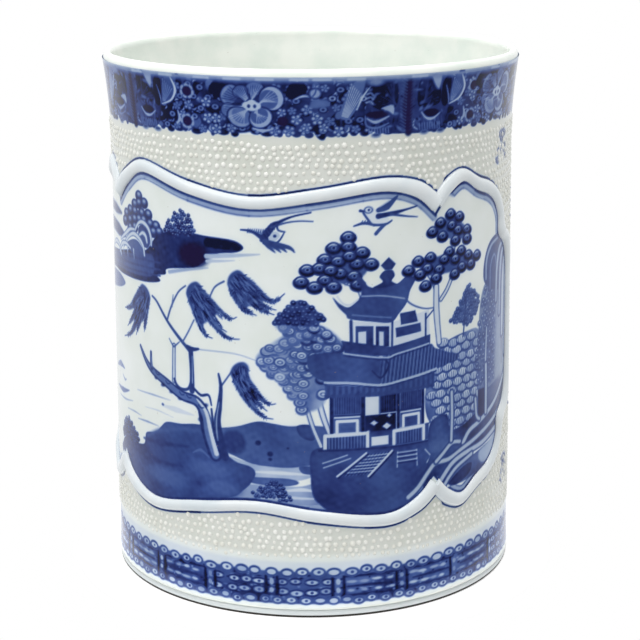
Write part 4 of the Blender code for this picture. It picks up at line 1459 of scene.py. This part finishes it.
def bead_tree():
    """Sets a low round drop of glaze on every point of its guide."""
    sizes = {label: "NodeSocketFloat" for label in ("Radius", "Rise", "Softness")}
    sizes |= {"Segments": "NodeSocketInt", "Rings": "NodeSocketInt"}
    tree, given = shape_tree("drops_of_glaze", sizes)
    ball = node(tree, "GeometryNodeMeshUVSphere", {
        "Segments": given["Segments"], "Rings": given["Rings"], "Radius": 1.0,
    })
    place = node(tree, "GeometryNodeInputPosition")
    height = node(tree, "ShaderNodeSeparateXYZ", {0: place})
    below = node(tree, "FunctionNodeCompare", {0: height.outputs["Z"], 1: -0.1}, operation="LESS_THAN")
    # Raised to a power, a ball's height becomes a swelling that runs out flat at its edge.
    eased = node(tree, "ShaderNodeMath", {0: height.outputs["Z"], 1: given["Softness"]}, operation="POWER")
    swelling = node(tree, "ShaderNodeCombineXYZ", {
        "X": height.outputs["X"], "Y": height.outputs["Y"], "Z": eased,
    })
    dome = node(tree, "GeometryNodeDeleteGeometry", {"Geometry": ball, "Selection": below}, domain="POINT")
    marked = node(
        tree, "GeometryNodeStoreNamedAttribute",
        {"Geometry": dome, "Name": "rise", "Value": eased}, data_type="FLOAT", domain="POINT",
    )
    swollen = node(tree, "GeometryNodeSetPosition", {"Geometry": marked, "Position": swelling})
    squeeze = node(tree, "ShaderNodeCombineXYZ", {
        "X": given["Radius"], "Y": given["Radius"], "Z": given["Rise"],
    })
    drop = node(tree, "GeometryNodeTransform", {"Geometry": swollen, "Scale": squeeze})
    outward = node(tree, "ShaderNodeVectorMath", {0: place, 1: (1.0, 1.0, 0.0)}, operation="MULTIPLY")
    upright = node(tree, "FunctionNodeAlignRotationToVector", {"Vector": outward}, axis="Z")
    size = node(tree, "GeometryNodeInputNamedAttribute", {"Name": "size"}, data_type="FLOAT")
    drops = node(tree, "GeometryNodeInstanceOnPoints", {
        "Points": given["Guide"], "Instance": drop, "Rotation": upright, "Scale": size,
    })
    end_tree(tree, given, drops)
    return tree


# ---- the pieces


def lip_arc(steps=18):
    """The round of the lip, from its widest part over the crest to the inner edge."""
    half = LIP_THICKNESS / 2
    turn = np.linspace(0, math.pi, steps)
    rise = LIP_DROP * np.maximum(np.sin(turn), 0) ** LIP_FULLNESS
    return list(zip(LIP_RADIUS - half + half * np.cos(turn), LIP_HEIGHT + rise))


def inner_radius(up):
    """The inside of the wall, which thins towards the lip."""
    flare = np.clip((up - WAIST) / (LIP_HEIGHT - WAIST), 0, 1)
    return wall_radius(up) - WALL_THICKNESS + (WALL_THICKNESS - LIP_THICKNESS) * flare


def turned(name, tree, profile, steps, material, closed=True, seam=1e-7):
    """A finished piece, turned from a profile of (radius, height) points."""
    points = [(radius * MM, 0.0, up * MM) for radius, up in profile]
    guide = guide_mesh(name + "_profile", points, closed)
    return grow(name, tree, guide, {"Steps": steps, "Seam": seam, "Material": material})


def turned_wall(tree, material):
    """The thrown cylinder: its inside, its lip and the outside under the painting."""
    outside = [(wall_radius(up), up) for up in np.linspace(LIP_HEIGHT, WALL_BOTTOM, 60)]
    inside = [(inner_radius(up), up) for up in np.linspace(WALL_BOTTOM, LIP_HEIGHT, 50)]
    profile = lip_arc()[::-1] + outside[1:] + inside[:-1]
    return turned("turned_wall", tree, profile, 240, material)


def inside_floor(tree, material):
    """The floor of the pot, dished a little, running up into the wall in a soft curve."""
    radius = inner_radius(FLOOR_TOP) - 0.1
    share = np.linspace(0, 1, 24)
    rise = 0.35 * share**2 + 1.8 * np.maximum(0, (share - 0.93) / 0.07) ** 2
    top = [(radius * s, FLOOR_TOP - 0.3 + r) for s, r in zip(share, rise)]
    profile = top + [(radius - 0.4, WALL_BOTTOM + 0.4), (radius - 0.8, WALL_BOTTOM), (0.0, WALL_BOTTOM)]
    return turned("inside_floor", tree, profile, 120, material, closed=False, seam=1e-6)


def foot(tree, material):
    """The bare clay ring that the pot stands on, its corners rubbed round."""
    outer, inner, worn = FOOT_RADIUS, FOOT_RADIUS - FOOT_WIDTH, WORN_CORNER
    turns = np.linspace(0, math.pi / 2, 6)
    under_outer = [(outer - worn + worn * math.cos(t), worn - worn * math.sin(t)) for t in turns]
    under_inner = [(inner + worn - worn * math.sin(t), worn - worn * math.cos(t)) for t in turns]
    profile = [(outer, FOOT_TOP), *under_outer, *under_inner, (inner, FOOT_TOP)]
    return turned("biscuit_foot", tree, profile, 180, material)


def frame_strips(tree, material):
    """The four strips of each frame, each as wide as the space between its two outlines."""
    made = []
    for panel, middle, narrower in PANELS:
        outer_runs, inner_runs = frame_edge(narrower, 0), frame_edge(narrower, 1)
        for place, outer in outer_runs.items():
            inner = inner_runs[place]
            centre = (outer + inner) / 2
            half = np.linalg.norm(outer - inner, axis=1) / 2
            ahead = np.gradient(centre, axis=0)
            across = outer - inner
            slant = np.abs(ahead[:, 0] * across[:, 1] - ahead[:, 1] * across[:, 0])
            slant /= np.linalg.norm(ahead, axis=1) * np.linalg.norm(across, axis=1) + 1e-9
            points = on_wall(middle + centre[:, 0], PANEL_MIDDLE + centre[:, 1], 0.0)
            guide = guide_mesh(
                "strip_path", points,
                values={"half_width": half * np.clip(slant, 0.55, 1) * MM},
            )
            name = f"{panel}_rib_{place}"
            values = {"Relief": RIB_RELIEF / (RIB_WIDTH / 2), "Section Steps": 20, "Material": material}
            strip = grow(name, tree, guide, values)
            made.append((strip, f"{panel}_frame_{place}"))
    return made


def glaze_drops(tree, material, brush, cobalt, random):
    """Rows of small raised drops all over the ground between the frames and the borders."""
    spots, sizes, tones = [], [], []
    for row, up in enumerate(np.arange(BASE_BAND[1] + 2.6, RIM_BAND[0] - 0.2, BEAD_ROWS)):
        along = np.arange(-HALF_WAY, HALF_WAY - BEAD_PITCH / 2, ROUND / round(ROUND / BEAD_PITCH))
        along = along + (row % 2) * BEAD_PITCH / 2 + random.normal(
            0, 0.18, len(along),
        ) + 0.35 * math.sin(row * 1.7)
        height = up + random.normal(0, 0.16, len(along)) + 0.35 * np.sin(along * 0.11 + row)
        free = np.ones(len(along), bool)
        for reach_along, reach_up in ((0, 0), (1.0, 0), (-1.0, 0), (0, 1.0), (0, -1.0)):
            free &= bare_ground(along + reach_along, height + reach_up)
        spots.append(on_wall(along[free], height[free], SKIN_LIFT - 0.02))
        at_column = np.searchsorted(brush.along[:COLUMNS], along[free])
        tones.append(cobalt[np.searchsorted(brush.up, height[free]), at_column])
        size = np.clip(random.normal(1.0, 0.1, free.sum()), 0.75, 1.3)
        sizes.append(size * (0.8 if row == 0 else 1.0))
    labels = {"size": np.concatenate(sizes), "cobalt": np.concatenate(tones)}
    guide = guide_mesh("drop_places", np.concatenate(spots), values=labels)
    values = {
        "Radius": BEAD_RADIUS * MM, "Rise": BEAD_RISE * MM, "Softness": 1.8, "Segments": 8, "Rings": 6,
        "Material": material,
    }
    return grow("raised_drops", tree, guide, values)


# ---- materials

GLAZED_WHITE = "E2E8E7"


def principled(name, settings):
    """A material and its shader, with the values that are the same all over set on it."""
    material = bpy.data.materials.new(name)
    material.use_nodes = True
    tree = material.node_tree
    shader = tree.nodes["Principled BSDF"]
    for label, value in settings.items():
        shader.inputs[label].default_value = value
    return material, tree, shader


def mixed(tree, share, first, second, blend="MIX"):
    """The colour between two others, each a hex value or a socket."""
    colours = [linear(colour) if isinstance(colour, str) else colour for colour in (first, second)]
    mix = node(tree, "ShaderNodeMix", data_type="RGBA", blend_type=blend)
    colour_ends = [socket for socket in mix.inputs if socket.type == "RGBA"]
    for socket, value in zip((mix.inputs[0], *colour_ends), (share, *colours)):
        if isinstance(value, bpy.types.NodeSocket):
            tree.links.new(value, socket)
        else:
            socket.default_value = value
    return next(socket for socket in mix.outputs if socket.type == "RGBA")


def unevenness(tree, size, detail=3.0, roughness=0.55):
    """A soft pattern whose features are about this many millimetres across."""
    place = node(tree, "ShaderNodeTexCoord")
    return node(tree, "ShaderNodeTexNoise", {
        "Vector": place.outputs["Object"], "Scale": 1 / (size * MM), "Detail": detail,
        "Roughness": roughness,
    }).outputs["Fac"]


def spread(tree, fac, low, high, start=0.0, end=1.0):
    """A value moved from the range low to high into start to end, and held there."""
    made = node(tree, "ShaderNodeMapRange", {
        "Value": fac, "From Min": low, "From Max": high, "To Min": start, "To Max": end,
    }, clamp=True)
    return made.outputs["Result"]


def lay_glaze(tree, shader, colour, depth, size=9.0):
    """Sets a glaze's colour, and the slow wave of its fired surface, which breaks up a reflection."""
    tree.links.new(colour, shader.inputs["Base Color"])
    bump = node(tree, "ShaderNodeBump", {
        "Height": unevenness(tree, size, 2.0), "Distance": depth * MM, "Strength": 1.0,
    })
    tree.links.new(bump.outputs["Normal"], shader.inputs["Normal"])


def underglaze_cobalt():
    """Cobalt brushed on raw porcelain under a clear glaze: washes that pool to near black,
    a pale bluish white where bare, and one unbroken gloss over both."""
    material, tree, shader = principled(
        "underglaze_cobalt_on_glazed_porcelain",
        {"Roughness": 0.14, "IOR": 1.5, "Metallic": 0.0},
    )
    cobalt, violet, ground = (node(
        tree, "ShaderNodeAttribute", attribute_name=label,
    ).outputs["Fac"] for label in ("cobalt", "violet", "ground"))
    ramp = node(tree, "ShaderNodeValToRGB", {"Fac": cobalt})
    set_stops(ramp, [
        (0.0, GLAZED_WHITE), (0.1, "C8D3E2"), (0.28, "97ABCE"), (0.5, "4E67A4"), (0.66, "374E8D"),
        (0.8, "263674"), (0.92, "15225A"), (1.0, "080E30"),
    ])
    warm = mixed(tree, violet, ramp.outputs["Color"], "1C0F3E")
    # The bead ground is greyed: partly glaze pooled between the drops, partly painted shade.
    bare = mixed(tree, ground, warm, "F4F1EC", "MULTIPLY")
    speck = unevenness(tree, 0.9, 1.0)
    specked = mixed(tree, spread(tree, speck, 0.78, 0.83, 0.0, 0.35), bare, "8C7A62")
    tone = mixed(
        tree, spread(tree, unevenness(tree, 14.0), 0.35, 0.65, 0.0, 0.5), specked, "EFF1EA", "MULTIPLY",
    )
    lay_glaze(tree, shader, tone, 0.03)
    return material


def clear_glaze(name, colour, pooled, depth=0.02):
    """Clear glaze on white porcelain, a little green-blue where it has run thick."""
    material, tree, shader = principled(name, {"Roughness": 0.12, "IOR": 1.5, "Metallic": 0.0})
    runs = spread(tree, unevenness(tree, 11.0, 4.0), 0.4, 0.7)
    tone = mixed(tree, runs, colour, pooled)
    specked = mixed(tree, spread(tree, unevenness(tree, 0.8, 1.0), 0.78, 0.83, 0.0, 0.4), tone, "857560")
    lay_glaze(tree, shader, specked, depth)
    return material


def drop_glaze():
    """Raised drops of white slip under the glaze: bright on top as a painted highlight, grey round
    their feet as painted shade and where the glaze pools."""
    material, tree, shader = principled("raised_slip_drops", {
        "Roughness": 0.2, "IOR": 1.5, "Metallic": 0.0,
    })
    rise = node(tree, "ShaderNodeAttribute", attribute_name="rise").outputs["Fac"]
    # Painted highlight and shade: lighter towards each drop's top, greyer at its foot.
    tone = mixed(tree, spread(tree, rise, 0.0, 0.85), "D9DBD6", "EEEFEA")
    varied = mixed(
        tree, spread(tree, unevenness(tree, 5.0), 0.35, 0.65, 0.0, 0.5), tone, "E9E8DF", "MULTIPLY",
    )
    cobalt = node(tree, "ShaderNodeAttribute", attribute_name="cobalt").outputs["Fac"]
    brushed = mixed(tree, spread(tree, cobalt, 0.0, 0.8), varied, "4A5F98")
    lay_glaze(tree, shader, brushed, 0.01, 2.0)
    return material


def bare_biscuit():
    """A foot wiped clean of glaze underneath: white glaze down its side, greyer than the wall's as
    painted shade, then matt gritty clay with dusty patches, and near black in the worn corners
    as a painted contact shadow."""
    material, tree, shader = principled("unglazed_biscuit_clay", {
        "Roughness": 0.8, "IOR": 1.45, "Metallic": 0.0,
    })
    grit = unevenness(tree, 0.5, 6.0, 0.7)
    clay = mixed(tree, spread(tree, grit, 0.35, 0.7), "C3B8A4", "A4977F")
    dusty = mixed(tree, spread(tree, unevenness(tree, 7.0), 0.45, 0.7, 0.0, 0.6), clay, "8F8675")
    place = node(tree, "ShaderNodeTexCoord")
    height = node(tree, "ShaderNodeSeparateXYZ", {0: place.outputs["Object"]}).outputs["Z"]
    # Painted contact shadow: near black from just above the bottom up round the worn corner.
    painted_contact_shadow = mixed(tree, spread(tree, height, 0.01 * MM, 0.05 * MM), dusty, "1C1713")
    glazed = spread(tree, height, 0.6 * MM, 0.8 * MM)
    # The glaze down the side is a greyer white than the wall's: painted shade low on the pot.
    tone = mixed(tree, glazed, painted_contact_shadow, "CBD1D2")
    tree.links.new(tone, shader.inputs["Base Color"])
    tree.links.new(spread(tree, glazed, 0.0, 1.0, 0.85, 0.15), shader.inputs["Roughness"])
    bump = node(tree, "ShaderNodeBump", {"Height": grit, "Distance": 0.05 * MM, "Strength": 0.5})
    tree.links.new(bump.outputs["Normal"], shader.inputs["Normal"])
    return material


def studio_card():
    """The pale matt card under the pot."""
    material, tree, shader = principled("pale_studio_card", {
        "Roughness": 0.9, "Specular IOR Level": 0.1, "Emission Color": WHITE,
        "Emission Strength": 0.32,
    })
    tone = mixed(tree, spread(tree, unevenness(tree, 60.0), 0.3, 0.7), "F6F6F5", "F2F3F3")
    tree.links.new(tone, shader.inputs["Base Color"])
    return material


# ---- camera, light and floor

VIEW_TURN = math.radians(16.55)
MOUTH_REACH = 55.0
VIEW_DISTANCE = 8.66 * MOUTH_REACH
VIEW_HEIGHT = HEIGHT + 0.871 * MOUTH_REACH
VIEW_TILT = 0.2531
VIEW_YAW = 0.0045
VIEW_LEAN = 0.005
WHITE = (1.0, 1.0, 1.0, 1.0)
SURROUND = 0.76
MIRRORED_DARK = 0.1
MIRRORED_WHITE = 0.95
FLOOR_RADIUS = FOOT_RADIUS + 12.0


def look():
    """The camera, level with the eye of someone who looks a little down into the mouth."""
    data = bpy.data.cameras.new("camera")
    data.lens = 100.0
    data.sensor_width = 36.0
    data.clip_start, data.clip_end = 0.01, 20.0
    camera = placed("camera", data)
    ahead = Vector((
        math.sin(VIEW_YAW) * math.cos(VIEW_TILT), math.cos(VIEW_YAW) * math.cos(VIEW_TILT),
        -math.sin(VIEW_TILT),
    ))
    ahead.rotate(Matrix.Rotation(VIEW_TURN, 3, "Z"))
    level = ahead.cross(Vector((0, 0, 1))).normalized()
    upward = level.cross(ahead)
    right = level * math.cos(VIEW_LEAN) - upward * math.sin(VIEW_LEAN)
    upward = right.cross(ahead)
    place = Vector((
        math.sin(VIEW_TURN), -math.cos(VIEW_TURN), 0,
    )) * VIEW_DISTANCE + Vector((0, 0, VIEW_HEIGHT))
    turn = Matrix((right, upward, -ahead)).transposed().to_4x4()
    camera.matrix_world = Matrix.Translation(place * MM) @ turn
    bpy.context.scene.camera = camera


def soft_box(name, direction, distance, size, power):
    """A square soft light on the pot, at a distance in metres and a (turn, height) in degrees."""
    data = bpy.data.lights.new(name, "AREA")
    data.shape = "SQUARE"
    data.size = size
    data.energy = power
    lamp = placed(name, data)
    turn, height = (math.radians(value) for value in direction)
    way = Vector((math.sin(turn) * math.cos(height), -math.cos(turn) * math.cos(height), math.sin(height)))
    lamp.location = Vector((0, 0, HEIGHT / 2 * MM)) + way * distance
    lamp.rotation_euler = (-way).to_track_quat("-Z", "Y").to_euler()


def light_studio():
    """A white surround and soft lights above and to the left. What the glaze mirrors is white
    behind the pot, and dark on the eye's side, where the room is."""
    scene = bpy.context.scene
    scene.view_settings.view_transform = "Standard"
    world = bpy.data.worlds.new("white_surround")
    world.use_nodes = True
    tree = world.node_tree
    tree.nodes.clear()
    ray = node(tree, "ShaderNodeLightPath")
    way = node(tree, "ShaderNodeTexCoord")
    ahead = (-math.sin(VIEW_TURN), math.cos(VIEW_TURN), 0.0)
    behind = node(
        tree, "ShaderNodeVectorMath", {0: way.outputs["Generated"], 1: ahead}, operation="DOT_PRODUCT",
    )
    mirrored = spread(tree, behind.outputs["Value"], -0.1, 0.7, MIRRORED_DARK, MIRRORED_WHITE)
    lit, dim, white = (node(
        tree, "ShaderNodeBackground", {"Color": colour, "Strength": strength},
    ) for colour, strength in ((WHITE, SURROUND), ((0.97, 0.98, 1.0, 1.0), mirrored), (WHITE, 1.0)))
    glossy = node(tree, "ShaderNodeMixShader", {0: ray.outputs["Is Glossy Ray"], 1: lit, 2: dim})
    seen = node(tree, "ShaderNodeMixShader", {0: ray.outputs["Is Camera Ray"], 1: glossy, 2: white})
    node(tree, "ShaderNodeOutputWorld", {"Surface": seen})
    scene.world = world
    soft_box("key", (-34, 36), 1.1, 0.7, 2.9)
    soft_box("top", (10, 82), 1.0, 0.8, 8.0)


def floor():
    """A wide round of card, level with the foot."""
    turns = np.linspace(0, math.tau, 97)[:-1]
    ring = [(FLOOR_RADIUS * MM * math.cos(turn), FLOOR_RADIUS * MM * math.sin(turn), 0.0) for turn in turns]
    mesh = bpy.data.meshes.new("studio_floor")
    mesh.from_pydata(ring, [], [list(range(96))])
    mesh.materials.append(studio_card())
    placed("studio_floor", mesh)


# ---- the pot


def main():
    """Makes the pot's pieces with their glazes, hangs each on the root body, hides the CAD parts they stand
    in for, and lights them.
    """
    painted = underglaze_cobalt()
    inside_glaze = clear_glaze("clear_glaze_on_white_porcelain", "EEF1EB", "E0E8E1")
    strip_glaze = clear_glaze("glazed_clay_strip", "DFE4E6", "D2DBE0", 0.03)
    biscuit = bare_biscuit()

    wheel, strips = turning_tree(), strip_tree()
    pieces = [
        (turned_wall(wheel, inside_glaze), "glazed_porcelain", "body_wall"),
        (inside_floor(wheel, inside_glaze), "glazed_porcelain", "floor_disc"),
        (foot(wheel, biscuit), "unglazed_biscuit", "foot_ring"),
    ]
    pieces += [(strip, "white_frame", cad_node) for strip, cad_node in frame_strips(strips, strip_glaze)]
    brush = paint_pot()
    cobalt, violet = brush.finished()
    drops = glaze_drops(bead_tree(), drop_glaze(), brush, cobalt, np.random.default_rng(51))
    pieces.append((drops, "glazed_porcelain", None))
    along, up = brush.along[: COLUMNS + 1], brush.up
    # The ground mask marks where the wall is greyed between the drops: pooled glaze and painted shade.
    ground = bare_ground(along[None, :], up[:, None]).astype(np.float32)
    ground *= np.clip((up[:, None] - BASE_BAND[1] - 2.4) / 1.2, 0, 1) * (up[:, None] < RIM_BAND[0] + 1.2)
    layers = {"cobalt": cobalt, "violet": violet, "ground": ground}
    every = COLUMNS // WALL_SKINS
    for k in range(WALL_SKINS):
        columns = slice(every * k, every * (k + 1) + 1)
        heights = (BASE_BAND[1], RIM_BAND[0] + 0.01)
        skin = painted_skin(f"painted_wall_{k + 1}", brush, layers, columns, heights, painted)
        pieces.append((skin, "glazed_porcelain", None))
    for name, heights in (("rim_border", RIM_BAND), ("base_border", BASE_BAND)):
        skin = painted_skin(name, brush, layers, slice(0, COLUMNS + 1), heights, painted)
        pieces.append((skin, "glazed_porcelain", None))

    for piece, slot, cad_node in pieces:
        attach(piece, "root")
        if cad_node:
            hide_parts(cad_node)

    floor()
    light_studio()
    look()


main()
